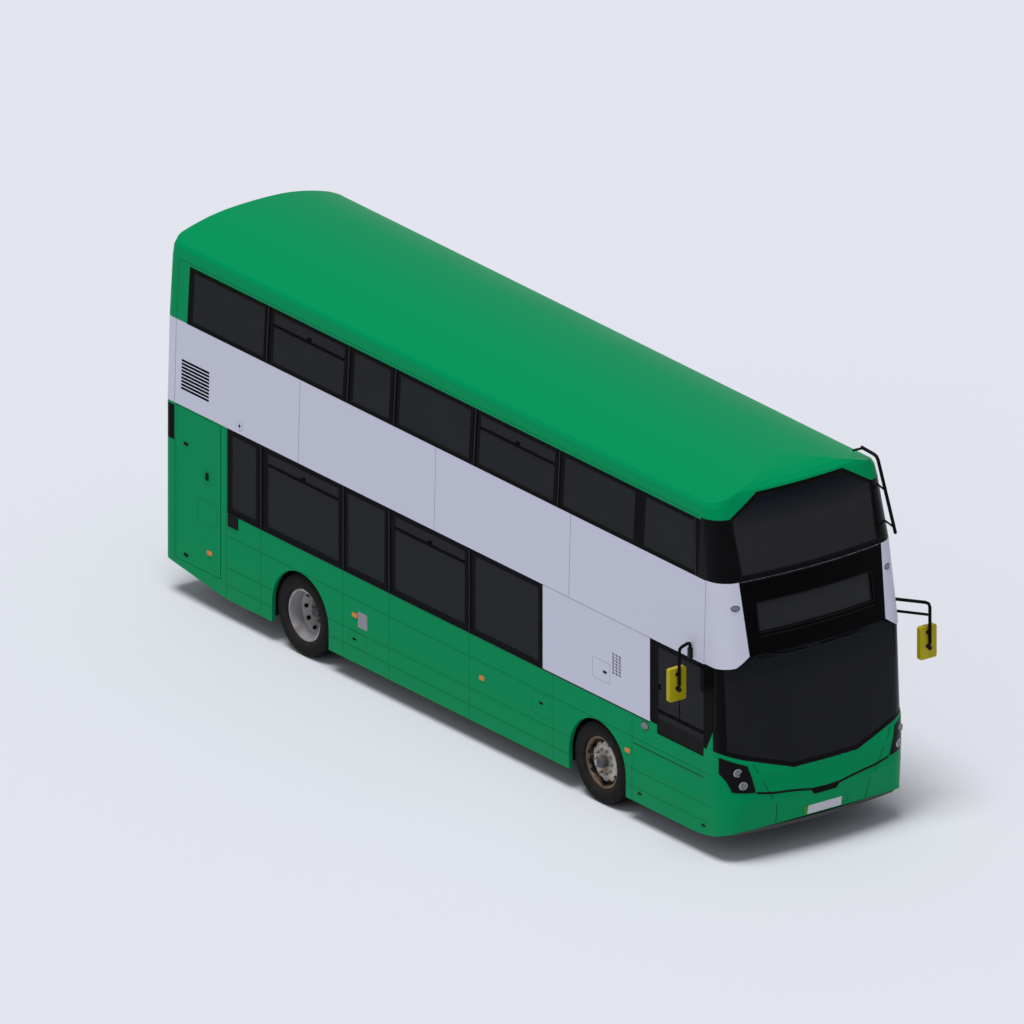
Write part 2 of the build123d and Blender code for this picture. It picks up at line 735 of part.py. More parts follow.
def stair_profile():
    """Side view of the folded treads and risers, rising towards the front."""
    top = []
    for step in range(stair_risers):
        y = along(stair_foot_back) - step * stair_going
        top.append((y, low_floor_z + step * riser))
        top.append((y, low_floor_z + (step + 1) * riser))
    last_y, last_z = top.pop()
    top.append((last_y, last_z - upper_floor_plate))
    under = [(y - stair_plate, z - stair_plate) for y, z in reversed(top[1:-1])]
    under.append((along(stair_foot_back) - stair_plate, low_floor_z))
    with BuildSketch(Plane.YZ) as profile:
        with BuildLine():
            Polyline(*top, (last_y - stair_plate, last_z - upper_floor_plate), *under, close=True)
        make_face()
    return profile.sketch


stair_face = stair_profile()
stair_width_from = -inner_half + wall_clear
with BuildPart() as staircase:
    extrude(stair_face.moved(Location((stair_width_from, 0, 0))),
            amount=inner_half - wall_clear - stair_inner_x)
staircase.part.label = "staircase"
export_step(staircase.part, "parts/staircase.step")

stairwell_back = (stair_foot_back - (stair_risers - 1) * stair_going, 3640)
upper_floor_front_back = 200
upper_inner_half = half_width - wall - 7
upper_floor_outline = end_outline(upper_floor_z - upper_floor_plate, along(upper_floor_front_back),
                                  rear_y - wall - housing_clear, upper_inner_half, 260)
with BuildPart() as upper_floor:
    with BuildSketch(Plane.XY.offset(upper_floor_z - upper_floor_plate)) as floor_plan:
        add(upper_floor_outline)
        fillet(floor_plan.vertices().group_by(Axis.Y)[-1], rear_corner)
        with Locations((-(upper_inner_half + stair_inner_x - 20) / 2, along(sum(stairwell_back) / 2))):
            Rectangle(upper_inner_half - stair_inner_x + 20, stairwell_back[1] - stairwell_back[0],
                      mode=Mode.SUBTRACT)
    extrude(amount=upper_floor_plate)
upper_floor.part.label = "upper_floor"
export_step(upper_floor.part, "parts/upper_floor.step")

# ---------------------------------------------------------------- chassis frame
rail_x = 430
rail_width = 60
rail_z = (230, low_floor_z - floor_plate)
rear_rail_z = (rear_floor_z - floor_plate - 90, rear_floor_z - floor_plate)
rail_front_back = 620
rail_rear_back = 10400
cross_backs = [640, 1700, 3400, 4500, 5600, 6700]
rear_cross_backs = [7420, 8750, 9390]
outrigger_backs = [1700, 3900, 5000, 6300]

with BuildPart() as chassis_frame:
    with BuildSketch(Plane.YZ.offset(rail_x - rail_width / 2)):
        with BuildLine():
            Polyline(
                (along(rail_front_back), rail_z[0]),
                (rear_step_y + 60, rail_z[0]),
                (rear_step_y + 140, rail_z[0] + 60),
                (rear_step_y + 140, rear_rail_z[0]),
                (along(rail_rear_back), rear_rail_z[0]),
                (along(rail_rear_back), rear_rail_z[1]),
                (rear_step_y + floor_plate, rear_rail_z[1]),
                (rear_step_y + floor_plate, rail_z[1]),
                (along(rail_front_back), rail_z[1]),
                close=True,
            )
        make_face()
    extrude(amount=rail_width)
    mirror(about=Plane.YZ)
    for back in cross_backs:
        with Locations((0, along(back), sum(rail_z) / 2)):
            Box(2 * rail_x, 60, rail_z[1] - rail_z[0])
    for back in rear_cross_backs:
        with Locations((0, along(back), sum(rear_rail_z) / 2)):
            Box(2 * rail_x, 60, rear_rail_z[1] - rear_rail_z[0])
    for back in outrigger_backs:
        with Locations((0, along(back), sum(rail_z) / 2)):
            Box(2 * inner_half, 60, rail_z[1] - rail_z[0] - 20)
chassis_frame.part.label = "chassis_frame"
export_step(chassis_frame.part, "parts/chassis_frame.step")

# ---------------------------------------------------------------- engine
engine_size = (2 * rail_x - rail_width - 2 * link_gap, 900, 760)
engine_back = 9990
engine_z = 400
with BuildPart() as engine:
    with Locations((0, along(engine_back), engine_z)):
        Box(*engine_size, align=(Align.CENTER, Align.CENTER, Align.MIN))
    fillet(engine.edges().filter_by(Axis.Y), 40)
engine.part.label = "engine"
export_step(engine.part, "parts/engine.step")

# ---------------------------------------------------------------- front axle beam
beam_low_z = 150
pin_radius = 20
eye_radius = 45
eye_z = (420, 537)
with BuildPart() as front_axle:
    with BuildSketch(Plane.XZ.offset(-(front_axle_y + 45))):
        with BuildLine():
            Polyline(
                (0, beam_low_z), (600, beam_low_z), (790, 400), (840, eye_z[0]), (kingpin_x, eye_z[0]),
                (kingpin_x, eye_z[1]), (770, 520), (590, rail_z[0]), (0, rail_z[0]), close=True,
            )
        make_face()
    extrude(amount=90)
    with Locations((kingpin_x, front_axle_y, eye_z[0])):
        Cylinder(eye_radius, eye_z[1] - eye_z[0], align=(Align.CENTER, Align.CENTER, Align.MIN))
        Cylinder(pin_radius + 0.05, 400, mode=Mode.SUBTRACT)
    mirror(about=Plane.YZ)
front_axle.part.label = "front_axle"
export_step(front_axle.part, "parts/front_axle.step")

# ---------------------------------------------------------------- steering knuckles
lug_height = 60
lug_gap = 0.5
stub_radius = 30
hub_face_x = 1135             # wheel disc seats here on the hub
ball_z = 190
ball_radius = 16
knuckle_low = eye_z[0] - lug_gap - lug_height
knuckle_high = eye_z[1] + lug_gap + lug_height
with BuildPart() as nearside_knuckle:
    for foot_z in (knuckle_low, eye_z[1] + lug_gap):
        with Locations((kingpin_x, front_axle_y, foot_z)):
            Cylinder(eye_radius, lug_height, align=(Align.CENTER, Align.CENTER, Align.MIN))
    with Locations((kingpin_x, front_axle_y, knuckle_low)):
        Cylinder(pin_radius, knuckle_high - knuckle_low, align=(Align.CENTER, Align.CENTER, Align.MIN))
    web_x = kingpin_x + eye_radius + 6
    with Locations((web_x, front_axle_y, (knuckle_low + knuckle_high) / 2)):
        Box(40, 90, knuckle_high - knuckle_low, align=(Align.MIN, Align.CENTER, Align.CENTER))
    for foot_z in (knuckle_low, eye_z[1] + lug_gap):
        with Locations((kingpin_x, front_axle_y, foot_z)):
            Box(web_x - kingpin_x + 20, 90, lug_height, align=(Align.MIN, Align.CENTER, Align.MIN))
    with BuildSketch(Plane.YZ.offset(web_x)):
        with Locations((front_axle_y, tyre_radius)):
            Circle(stub_radius)
    extrude(amount=hub_face_x - web_x + 60)
    with BuildSketch(Plane.YZ.offset(kingpin_x - 20)):
        with BuildLine():
            Polyline(
                (front_axle_y, knuckle_low), (front_axle_y + 40, knuckle_low + 50),
                (front_axle_y + steer_arm + 25, ball_z + 45), (front_axle_y + steer_arm + 25, ball_z + 22),
                (front_axle_y + steer_arm - 25, ball_z + 22), (front_axle_y, knuckle_low),
            )
        make_face()
    extrude(amount=40)
    with Locations((kingpin_x, front_axle_y + steer_arm, ball_z)):
        Sphere(ball_radius)
        Cylinder(9, 30, align=(Align.CENTER, Align.CENTER, Align.MIN))
nearside_knuckle.part.label = "nearside_knuckle"
export_step(nearside_knuckle.part, "parts/nearside_knuckle.step")

with BuildPart() as offside_knuckle:
    add(nearside_knuckle.part)
    mirror(about=Plane.YZ, mode=Mode.REPLACE)
offside_knuckle.part.label = "offside_knuckle"
export_step(offside_knuckle.part, "parts/offside_knuckle.step")

# ---------------------------------------------------------------- tie rod
socket_radius = 26
with BuildPart() as tie_rod:
    with BuildSketch(Plane.YZ.offset(-kingpin_x + 10)):
        with Locations((front_axle_y + steer_arm, ball_z)):
            Circle(14)
    extrude(amount=2 * kingpin_x - 20)
    with Locations((kingpin_x, front_axle_y + steer_arm, ball_z),
                   (-kingpin_x, front_axle_y + steer_arm, ball_z)):
        Sphere(socket_radius)
        Sphere(ball_radius + link_gap, mode=Mode.SUBTRACT)
        Cone(5, 26, 40, align=(Align.CENTER, Align.CENTER, Align.MIN), mode=Mode.SUBTRACT)
tie_rod.part.label = "tie_rod"
export_step(tie_rod.part, "parts/tie_rod.step")

# ---------------------------------------------------------------- wheels
rim_width = 190
rim_wall = 9
flange_radius = rim_radius + 16
stud_circle = 140
stud_count = 10
hand_holes = 10


def tyre_ring(centre_x, axle_y):
    """One tyre: sidewalls bulging past the bead, flat tread with rounded shoulders."""
    half = tyre_width / 2
    bead = rim_width / 2 - 17
    with BuildPart() as ring:
        with BuildSketch(Plane.XY.offset(tyre_radius)):
            with BuildLine():
                Polyline(
                    (centre_x - bead, axle_y + rim_radius + 1),
                    (centre_x - bead, axle_y + flange_radius + 2),
                    (centre_x - half + 10, axle_y + rim_radius + 34),
                )
                Spline(
                    (centre_x - half + 10, axle_y + rim_radius + 34),
                    (centre_x - half, axle_y + rim_radius + 92),
                    (centre_x - half + 14, axle_y + tyre_radius - 26),
                )
                Polyline(
                    (centre_x - half + 14, axle_y + tyre_radius - 26),
                    (centre_x - half + 30, axle_y + tyre_radius),
                    (centre_x + half - 30, axle_y + tyre_radius),
                    (centre_x + half - 14, axle_y + tyre_radius - 26),
                )
                Spline(
                    (centre_x + half - 14, axle_y + tyre_radius - 26),
                    (centre_x + half, axle_y + rim_radius + 92),
                    (centre_x + half - 10, axle_y + rim_radius + 34),
                )
                Polyline(
                    (centre_x + half - 10, axle_y + rim_radius + 34),
                    (centre_x + bead, axle_y + flange_radius + 2),
                    (centre_x + bead, axle_y + rim_radius + 1),
                    (centre_x - bead, axle_y + rim_radius + 1),
                )
            make_face()
        revolve(axis=Axis((0, axle_y, tyre_radius), (1, 0, 0)))
    return ring.part


def rim_ring(centre_x, axle_y, disc_x, dish):
    """Rim barrel with a flange each side and a dished disc that seats at disc_x.

    dish is how far the disc's bolting face lies outboard of the disc's rim joint.
    """
    half = rim_width / 2
    bore = 60
    with BuildPart() as ring:
        with BuildSketch(Plane.XY.offset(tyre_radius)):
            with BuildLine():
                Polyline(
                    (centre_x - half, axle_y + flange_radius),
                    (centre_x - half + 12, axle_y + flange_radius),
                    (centre_x - half + 16, axle_y + rim_radius),
                    (centre_x + half - 16, axle_y + rim_radius),
                    (centre_x + half - 12, axle_y + flange_radius),
                    (centre_x + half, axle_y + flange_radius),
                    (centre_x + half, axle_y + rim_radius - rim_wall),
                    (disc_x - dish + 14, axle_y + rim_radius - rim_wall - 22),
                    (disc_x, axle_y + stud_circle + 45),
                    (disc_x, axle_y + bore),
                    (disc_x - 14, axle_y + bore),
                    (disc_x - 14, axle_y + stud_circle + 40),
                    (disc_x - dish, axle_y + rim_radius - rim_wall - 26),
                    (centre_x - half, axle_y + rim_radius - rim_wall),
                    close=True,
                )
            make_face()
        revolve(axis=Axis((0, axle_y, tyre_radius), (1, 0, 0)))
        with BuildSketch(Plane.YZ.offset(disc_x - abs(dish) - 60)):
            with Locations((axle_y, tyre_radius)):
                with PolarLocations(225, hand_holes):
                    SlotOverall(52, 34, rotation=90)
        extrude(amount=2 * abs(dish) + 120, mode=Mode.SUBTRACT)
    return ring.part


def hub(axle_y, inner_x, outer_x, radius, flange_x):
    """Hub shell that carries the wheel disc, closed outside and bored inside."""
    with BuildPart() as shell:
        with BuildSketch(Plane.XY.offset(tyre_radius)):
            with BuildLine():
                Polyline(
                    (inner_x, axle_y), (outer_x, axle_y), (outer_x, axle_y + radius - 12),
                    (outer_x - 12, axle_y + radius), (flange_x, axle_y + radius),
                    (flange_x, axle_y + stud_circle + 30), (flange_x - 16, axle_y + stud_circle + 30),
                    (flange_x - 16, axle_y + radius + 12), (inner_x, axle_y + radius + 12), close=True,
                )
            make_face()
        revolve(axis=Axis((0, axle_y, tyre_radius), (1, 0, 0)))
    return shell.part


bearing_gap = 0.05
front_disc_x = wheel_track_half + 60
front_rim = rim_ring(wheel_track_half, front_axle_y, front_disc_x, 40)
front_hub = hub(front_axle_y, front_disc_x - 90, front_disc_x + 75, 59, front_disc_x - 14)
with BuildPart() as nearside_front_rim:
    add(front_rim)
    add(front_hub)
    with BuildSketch(Plane.YZ.offset(front_disc_x)):
        with Locations((front_axle_y, tyre_radius)):
            with PolarLocations(stud_circle, stud_count):
                RegularPolygon(15, 6)
    extrude(amount=24)
    with BuildSketch(Plane.YZ.offset(front_disc_x - 100)):
        with Locations((front_axle_y, tyre_radius)):
            Circle(stub_radius + bearing_gap)
    extrude(amount=150, mode=Mode.SUBTRACT)
nearside_front_rim.part.label = "nearside_front_rim"
export_step(nearside_front_rim.part, "parts/nearside_front_rim.step")

nearside_front_tyre = tyre_ring(wheel_track_half, front_axle_y)
nearside_front_tyre.label = "nearside_front_tyre"
export_step(nearside_front_tyre, "parts/nearside_front_tyre.step")

with BuildPart() as offside_front_rim:
    add(nearside_front_rim.part)
    mirror(about=Plane.YZ, mode=Mode.REPLACE)
offside_front_rim.part.label = "offside_front_rim"
export_step(offside_front_rim.part, "parts/offside_front_rim.step")

with BuildPart() as offside_front_tyre:
    add(nearside_front_tyre)
    mirror(about=Plane.YZ, mode=Mode.REPLACE)
offside_front_tyre.part.label = "offside_front_tyre"
export_step(offside_front_tyre.part, "parts/offside_front_tyre.step")

# twin rear wheels: the outer disc is dished inwards and bolts against the inner one
twin_joint_x = wheel_track_half - twin_spacing / 2
inner_twin_x = wheel_track_half - twin_spacing
outer_rim = rim_ring(wheel_track_half, rear_axle_y, twin_joint_x + 14, -70)
inner_rim = rim_ring(inner_twin_x, rear_axle_y, twin_joint_x, 70)
rear_hub = hub(rear_axle_y, twin_joint_x - 110, twin_joint_x + 120, 59, twin_joint_x - 14)
with BuildPart() as nearside_rear_rims:
    add(outer_rim)
    add(inner_rim)
    add(rear_hub)
    with BuildSketch(Plane.YZ.offset(twin_joint_x + 14)):
        with Locations((rear_axle_y, tyre_radius)):
            with PolarLocations(stud_circle, stud_count):
                RegularPolygon(15, 6)
    extrude(amount=24)
    with BuildSketch(Plane.YZ.offset(twin_joint_x - 120)):
        with Locations((rear_axle_y, tyre_radius)):
            Circle(axle_tube_radius - 12 + bearing_gap)
    extrude(amount=200, mode=Mode.SUBTRACT)
nearside_rear_rims.part.label = "nearside_rear_rims"
export_step(nearside_rear_rims.part, "parts/nearside_rear_rims.step")

outer_tyre = tyre_ring(wheel_track_half, rear_axle_y)
inner_tyre = tyre_ring(inner_twin_x, rear_axle_y)
with BuildPart() as nearside_rear_tyres:
    add(outer_tyre)
    add(inner_tyre)
nearside_rear_tyres.part.label = "nearside_rear_tyres"
export_step(nearside_rear_tyres.part, "parts/nearside_rear_tyres.step")

with BuildPart() as offside_rear_rims:
    add(nearside_rear_rims.part)
    mirror(about=Plane.YZ, mode=Mode.REPLACE)
offside_rear_rims.part.label = "offside_rear_rims"
export_step(offside_rear_rims.part, "parts/offside_rear_rims.step")

with BuildPart() as offside_rear_tyres:
    add(nearside_rear_tyres.part)
    mirror(about=Plane.YZ, mode=Mode.REPLACE)
offside_rear_tyres.part.label = "offside_rear_tyres"
export_step(offside_rear_tyres.part, "parts/offside_rear_tyres.step")

# ---------------------------------------------------------------- rear axle
diff_radius = 150
spindle_radius = axle_tube_radius - 12
diff_side = sqrt(diff_radius**2 - axle_tube_radius**2)
with BuildPart() as rear_axle:
    with BuildSketch(Plane.XY.offset(tyre_radius)):
        with BuildLine():
            Polyline(
                (-diff_side, rear_axle_y + axle_tube_radius),
                (-twin_joint_x + 112, rear_axle_y + axle_tube_radius),
                (-twin_joint_x + 112, rear_axle_y + spindle_radius),
                (-twin_joint_x - 60, rear_axle_y + spindle_radius),
                (-twin_joint_x - 60, rear_axle_y),
                (twin_joint_x + 60, rear_axle_y),
                (twin_joint_x + 60, rear_axle_y + spindle_radius),
                (twin_joint_x - 112, rear_axle_y + spindle_radius),
                (twin_joint_x - 112, rear_axle_y + axle_tube_radius),
                (diff_side, rear_axle_y + axle_tube_radius),
            )
            ThreePointArc(
                (diff_side, rear_axle_y + axle_tube_radius),
                (0, rear_axle_y + diff_radius),
                (-diff_side, rear_axle_y + axle_tube_radius),
            )
        make_face()
    revolve(axis=Axis((0, rear_axle_y, tyre_radius), (1, 0, 0)))
    with Locations((-rail_x, rear_axle_y, tyre_radius + 30), (rail_x, rear_axle_y, tyre_radius + 30)):
        Box(90, 90, rear_rail_z[0] - tyre_radius - 30, align=(Align.CENTER, Align.CENTER, Align.MIN))
rear_axle.part.label = "rear_axle"
export_step(rear_axle.part, "parts/rear_axle.step")

# ---------------------------------------------------------------- entrance door
# Each leaf hangs on two arms of an upright shaft. The arm pivots the leaf half-way between the
# shaft and a guide pin that runs along the opening, so the leaf swings out and turns edge-on.
jamb_gap = 14                 # leaf edge to the end of the doorway
meeting_gap = 20              # between the two closed leaves, whose outer corners swing towards each other
leaf_thickness = 36
leaf_x = half_width - 30      # middle of the closed leaf's thickness
leaf_z = (door_z[0] + 10, door_z[1] - 8)
shaft_edge = 44               # leaf's jamb edge to the shaft
shaft_offset = 66             # shaft inboard of the leaf's middle plane
shaft_radius = 18
guide_edge = 30               # guide pin to the leaf's leading edge
leaf_width = (door_back[1] - door_back[0] - 2 * jamb_gap - meeting_gap) / 2
arm_length = (leaf_width - shaft_edge - guide_edge) / 2
arm_z = (500, 2120)
arm_height = 14
pivot_radius = 8
running_gap = 0.05
shaft_x = leaf_x - shaft_offset
shaft_z = (low_floor_z + link_gap, 2262)
leaf_rail = 70                # width of the leaf's frame round the glass
leaf_glass_z = (leaf_z[0] + 90, leaf_z[1] - 90)


def door_shaft(jamb_y, side):
    """Shaft and arms; side is +1 where the leaf runs towards +Y from its jamb."""
    shaft_y = jamb_y + side * (jamb_gap + shaft_edge)
    pivot_y = shaft_y + side * arm_length
    with BuildPart() as shaft:
        with Locations((shaft_x, shaft_y, shaft_z[0])):
            Cylinder(shaft_radius, shaft_z[1] - shaft_z[0], align=(Align.CENTER, Align.CENTER, Align.MIN))
        for z in arm_z:
            with BuildSketch(Plane.XY.offset(z)):
                with Locations((shaft_x, (shaft_y + pivot_y) / 2)):
                    SlotCenterToCenter(arm_length, 34, rotation=90)
                with Locations((shaft_x, pivot_y)):
                    Circle(pivot_radius + running_gap, mode=Mode.SUBTRACT)
            extrude(amount=arm_height)
    return shaft.part


def door_leaf(jamb_y, side):
    """Leaf frame with its glass opening cut, pivot brackets and guide pin."""
    near_y = jamb_y + side * jamb_gap
    far_y = near_y + side * leaf_width
    pivot_y = near_y + side * (shaft_edge + arm_length)
    middle_y = (near_y + far_y) / 2
    guide_y = near_y + side * (leaf_width - guide_edge)
    inner_x = leaf_x - leaf_thickness / 2
    with BuildPart() as leaf:
        with BuildSketch(Plane.YZ.offset(inner_x)):
            with Locations((middle_y, sum(leaf_z) / 2)):
                RectangleRounded(leaf_width, leaf_z[1] - leaf_z[0], 12)
            with Locations((middle_y, sum(leaf_glass_z) / 2)):
                RectangleRounded(leaf_width - 2 * leaf_rail, leaf_glass_z[1] - leaf_glass_z[0], 40,
                                 mode=Mode.SUBTRACT)
        extrude(amount=leaf_thickness)
        for z in arm_z:
            for foot_z in (z - 10, z + arm_height + 1):
                with Locations((inner_x, pivot_y, foot_z)):
                    Box(shaft_offset, 44, 9, align=(Align.MAX, Align.CENTER, Align.MIN))
                with Locations((inner_x, pivot_y, foot_z)):
                    Box(14, leaf_width - 60, 9, align=(Align.MAX, Align.CENTER, Align.MIN))
            with Locations((shaft_x, pivot_y, z - 10)):
                Cylinder(pivot_radius, arm_height + 20, align=(Align.CENTER, Align.CENTER, Align.MIN))
        with Locations((shaft_x, guide_y, leaf_z[1] - 30)):
            Cylinder(7, 60, align=(Align.CENTER, Align.CENTER, Align.MIN))
        with Locations((inner_x, guide_y, leaf_z[1] - 30)):
            Box(shaft_offset, 24, 12, align=(Align.MAX, Align.CENTER, Align.MIN))
    return leaf.part


def door_pane(jamb_y, side):
    """Glass of one leaf, face to face with the frame's opening."""
    middle_y = jamb_y + side * (jamb_gap + leaf_width / 2)
    with BuildPart() as glass:
        with BuildSketch(Plane.YZ.offset(leaf_x - glass_thickness / 2)):
            with Locations((middle_y, sum(leaf_glass_z) / 2)):
                RectangleRounded(leaf_width - 2 * leaf_rail, leaf_glass_z[1] - leaf_glass_z[0], 40)
        extrude(amount=glass_thickness)
    return glass.part


door_front_y = along(door_back[0])
door_rear_y = along(door_back[1])

front_door_shaft = door_shaft(door_front_y, 1)
front_door_shaft.label = "front_door_shaft"
export_step(front_door_shaft, "parts/front_door_shaft.step")

rear_door_shaft = door_shaft(door_rear_y, -1)
rear_door_shaft.label = "rear_door_shaft"
export_step(rear_door_shaft, "parts/rear_door_shaft.step")

front_door_leaf = door_leaf(door_front_y, 1)
front_door_leaf.label = "front_door_leaf"
export_step(front_door_leaf, "parts/front_door_leaf.step")

rear_door_leaf = door_leaf(door_rear_y, -1)
rear_door_leaf.label = "rear_door_leaf"
export_step(rear_door_leaf, "parts/rear_door_leaf.step")

front_door_glass = door_pane(door_front_y, 1)
front_door_glass.label = "front_door_glass"
export_step(front_door_glass, "parts/front_door_glass.step")

rear_door_glass = door_pane(door_rear_y, -1)
rear_door_glass.label = "rear_door_glass"
export_step(rear_door_glass, "parts/rear_door_glass.step")

# ---------------------------------------------------------------- door header with its guide slot
header_x = (half_width - 190, half_width - wall - wall_clear)
header_z = (door_z[1] + 8, upper_floor_z - upper_floor_plate)
slot_half = 9
with BuildPart() as door_header:
    with BuildSketch(Plane.XZ.offset(-door_front_y)):
        with Locations(((header_x[0] + header_x[1]) / 2, (header_z[0] + header_z[1]) / 2)):
            Rectangle(header_x[1] - header_x[0], header_z[1] - header_z[0])
        with Locations((shaft_x, header_z[0])):
            Rectangle(2 * slot_half, 60, align=(Align.CENTER, Align.CENTER), mode=Mode.SUBTRACT)
    extrude(amount=-(door_rear_y - door_front_y))
    shaft_back = jamb_gap + shaft_edge
    with Locations((shaft_x, door_front_y + shaft_back, header_z[0]),
                   (shaft_x, door_rear_y - shaft_back, header_z[0])):
        Cylinder(shaft_radius + running_gap, 60, mode=Mode.SUBTRACT)
door_header.part.label = "door_header"
export_step(door_header.part, "parts/door_header.step")

# ---------------------------------------------------------------- driver's cab
cab_plinth_top = 560
cab_inner_x = -250            # aisle side of the cab
cab_rear_y = along(1690)
cab_front_y = along(560)
cab_wall = 30
with BuildPart() as cab_partition:
    with Locations((-inner_half + wall_clear, cab_rear_y, low_floor_z)):
        Box(inner_half - wall_clear + cab_inner_x - 60, cab_wall,
            upper_floor_z - upper_floor_plate - low_floor_z,
            align=(Align.MIN, Align.MIN, Align.MIN))
    with Locations((-inner_half + wall_clear, cab_rear_y, low_floor_z)):
        Box(inner_half - wall_clear + cab_inner_x - cab_wall - 30, cab_rear_y - cab_front_y,
            cab_plinth_top - low_floor_z, align=(Align.MIN, Align.MAX, Align.MIN))
cab_partition.part.label = "cab_partition"
export_step(cab_partition.part, "parts/cab_partition.step")

cab_door_z = (low_floor_z + 60, 1550)
cab_door_length = 640
cab_door_hinge_y = cab_rear_y - 30
with BuildPart() as cab_door:
    with Locations((cab_inner_x, cab_door_hinge_y + 18, cab_door_z[0])):
        Box(cab_wall, cab_door_length, cab_door_z[1] - cab_door_z[0], align=(Align.MAX, Align.MAX, Align.MIN))
    fillet(cab_door.edges().filter_by(Axis.X).group_by(Axis.Z)[-1], 60)
    with Locations((cab_inner_x - cab_wall / 2, cab_door_hinge_y, low_floor_z + link_gap)):
        Cylinder(12, cab_door_z[0] - low_floor_z, align=(Align.CENTER, Align.CENTER, Align.MIN))
cab_door.part.label = "cab_door"
export_step(cab_door.part, "parts/cab_door.step")

wheel_centre = (-700, along(760), 1130)
wheel_tilt = 30
hub_height = 30
tilt = radians(wheel_tilt)
steering_plane = Plane(origin=wheel_centre, x_dir=(1, 0, 0), z_dir=(0, sin(tilt), cos(tilt)))
with BuildPart(steering_plane) as steering_wheel:
    with BuildSketch(Plane(origin=wheel_centre, x_dir=(0, cos(tilt), -sin(tilt)), z_dir=(1, 0, 0))):
        with Locations((215, 0)):
            Circle(15)
    revolve(axis=Axis(wheel_centre, steering_plane.z_dir))
    Cylinder(55, hub_height)
    with PolarLocations(110, 4):
        Box(220, 34, 12)
steering_wheel.part.label = "steering_wheel"
export_step(steering_wheel.part, "parts/steering_wheel.step")

dash_outer_x = 950
column_length = 520
column_drop = hub_height / 2 + link_gap
column_start = Vector(*wheel_centre) - steering_plane.z_dir * column_drop
with BuildPart() as dashboard:
    with BuildSketch(Plane.YZ.offset(-dash_outer_x)):
        with BuildLine():
            Polyline(
                (along(230), low_floor_z), (along(540), low_floor_z), (along(540), 700), (along(430), 760),
                (along(620), 1010), (along(590), 1130), (along(330), 1100), (along(230), 1000), close=True,
            )
        make_face()
    extrude(amount=dash_outer_x + cab_inner_x)
    with BuildSketch(Plane(origin=column_start, z_dir=steering_plane.z_dir)):
        Circle(32)
    extrude(amount=-column_length)
dashboard.part.label = "dashboard"
export_step(dashboard.part, "parts/dashboard.step")

# ---------------------------------------------------------------- seats
seat_width = 835
driver_width = 480
back_lean = 8                 # degrees
bar_depth = 26
seat_depth = 420
cushion_thickness = 90
back_height = 620
back_thickness = 70
seat_rise = 430               # floor to the top of a cushion
seat_pitch = 760
seat_outer_x = inner_half - 55
lower_rows = [
    (low_floor_z, [4650 + n * seat_pitch for n in range(4)]),
    (rear_floor_z, [7780 + n * seat_pitch for n in range(3)]),
]
upper_rows = [1560 + n * seat_pitch for n in range(12)]
offside_skip = (1600, 4300)   # the stairwell takes these rows on the offside


def bench(width):
    """Cushion and back of one bench that faces the front, its back's foot over the origin."""
    foot_shift = back_height / 2 * sin(radians(back_lean))
    cushion_y = -seat_depth / 2 - back_thickness / 2 - foot_shift + seat_joint
    with BuildPart() as seat:
        with BuildSketch(Plane.YZ.offset(-width / 2)):
            with Locations((cushion_y, seat_rise - cushion_thickness / 2)):
                Rectangle(seat_depth, cushion_thickness)
            with Locations(Location((0, seat_rise - 40 + back_height / 2), -back_lean)):
                Rectangle(back_thickness, back_height)
        extrude(amount=width)
    return seat.part


def bench_stand(width, leg_x):
    """Pedestal and cross bar under one bench, with its leg at leg_x from the bench's middle."""
    top = seat_rise - cushion_thickness - link_gap
    with BuildPart() as stand:
        with BuildSketch(Plane.XZ.offset(seat_depth / 2)):
            with BuildLine():
                Polyline(
                    (leg_x - 45, 0), (leg_x + 45, 0), (leg_x + 45, top - bar_depth),
                    (width / 2 - 20, top - bar_depth), (width / 2 - 20, top), (-width / 2 + 20, top),
                    (-width / 2 + 20, top - bar_depth), (leg_x - 45, top - bar_depth), close=True,
                )
            make_face()
        extrude(amount=40, both=True)
    return stand.part


bench_x = seat_outer_x - seat_width / 2
offside_places = []
nearside_places = []
for floor_z, backs in lower_rows:
    for back in backs:
        offside_places.append((-bench_x, along(back), floor_z))
        nearside_places.append((bench_x, along(back), floor_z))
for back in upper_rows:
    nearside_places.append((bench_x, along(back), upper_floor_z))
    if not offside_skip[0] < back < offside_skip[1]:
        offside_places.append((-bench_x, along(back), upper_floor_z))
driver_place = (wheel_centre[0], along(1480), cab_plinth_top)

passenger_bench = bench(seat_width)
driver_bench = bench(driver_width)
with BuildPart() as seats:
    with Locations(*offside_places, *nearside_places):
        add(passenger_bench)
    with Locations(driver_place):
        add(driver_bench)
seats.part.label = "seats"
export_step(seats.part, "parts/seats.step")

leg_side = seat_width / 2 - 120
offside_stand = bench_stand(seat_width, leg_side)
nearside_stand = bench_stand(seat_width, -leg_side)
driver_stand = bench_stand(driver_width, 0)
with BuildPart() as seat_frames:
    with Locations(*offside_places):
        add(offside_stand)
    with Locations(*nearside_places):
        add(nearside_stand)
    with Locations(driver_place):
        add(driver_stand)
seat_frames.part.label = "seat_frames"
export_step(seat_frames.part, "parts/seat_frames.step")

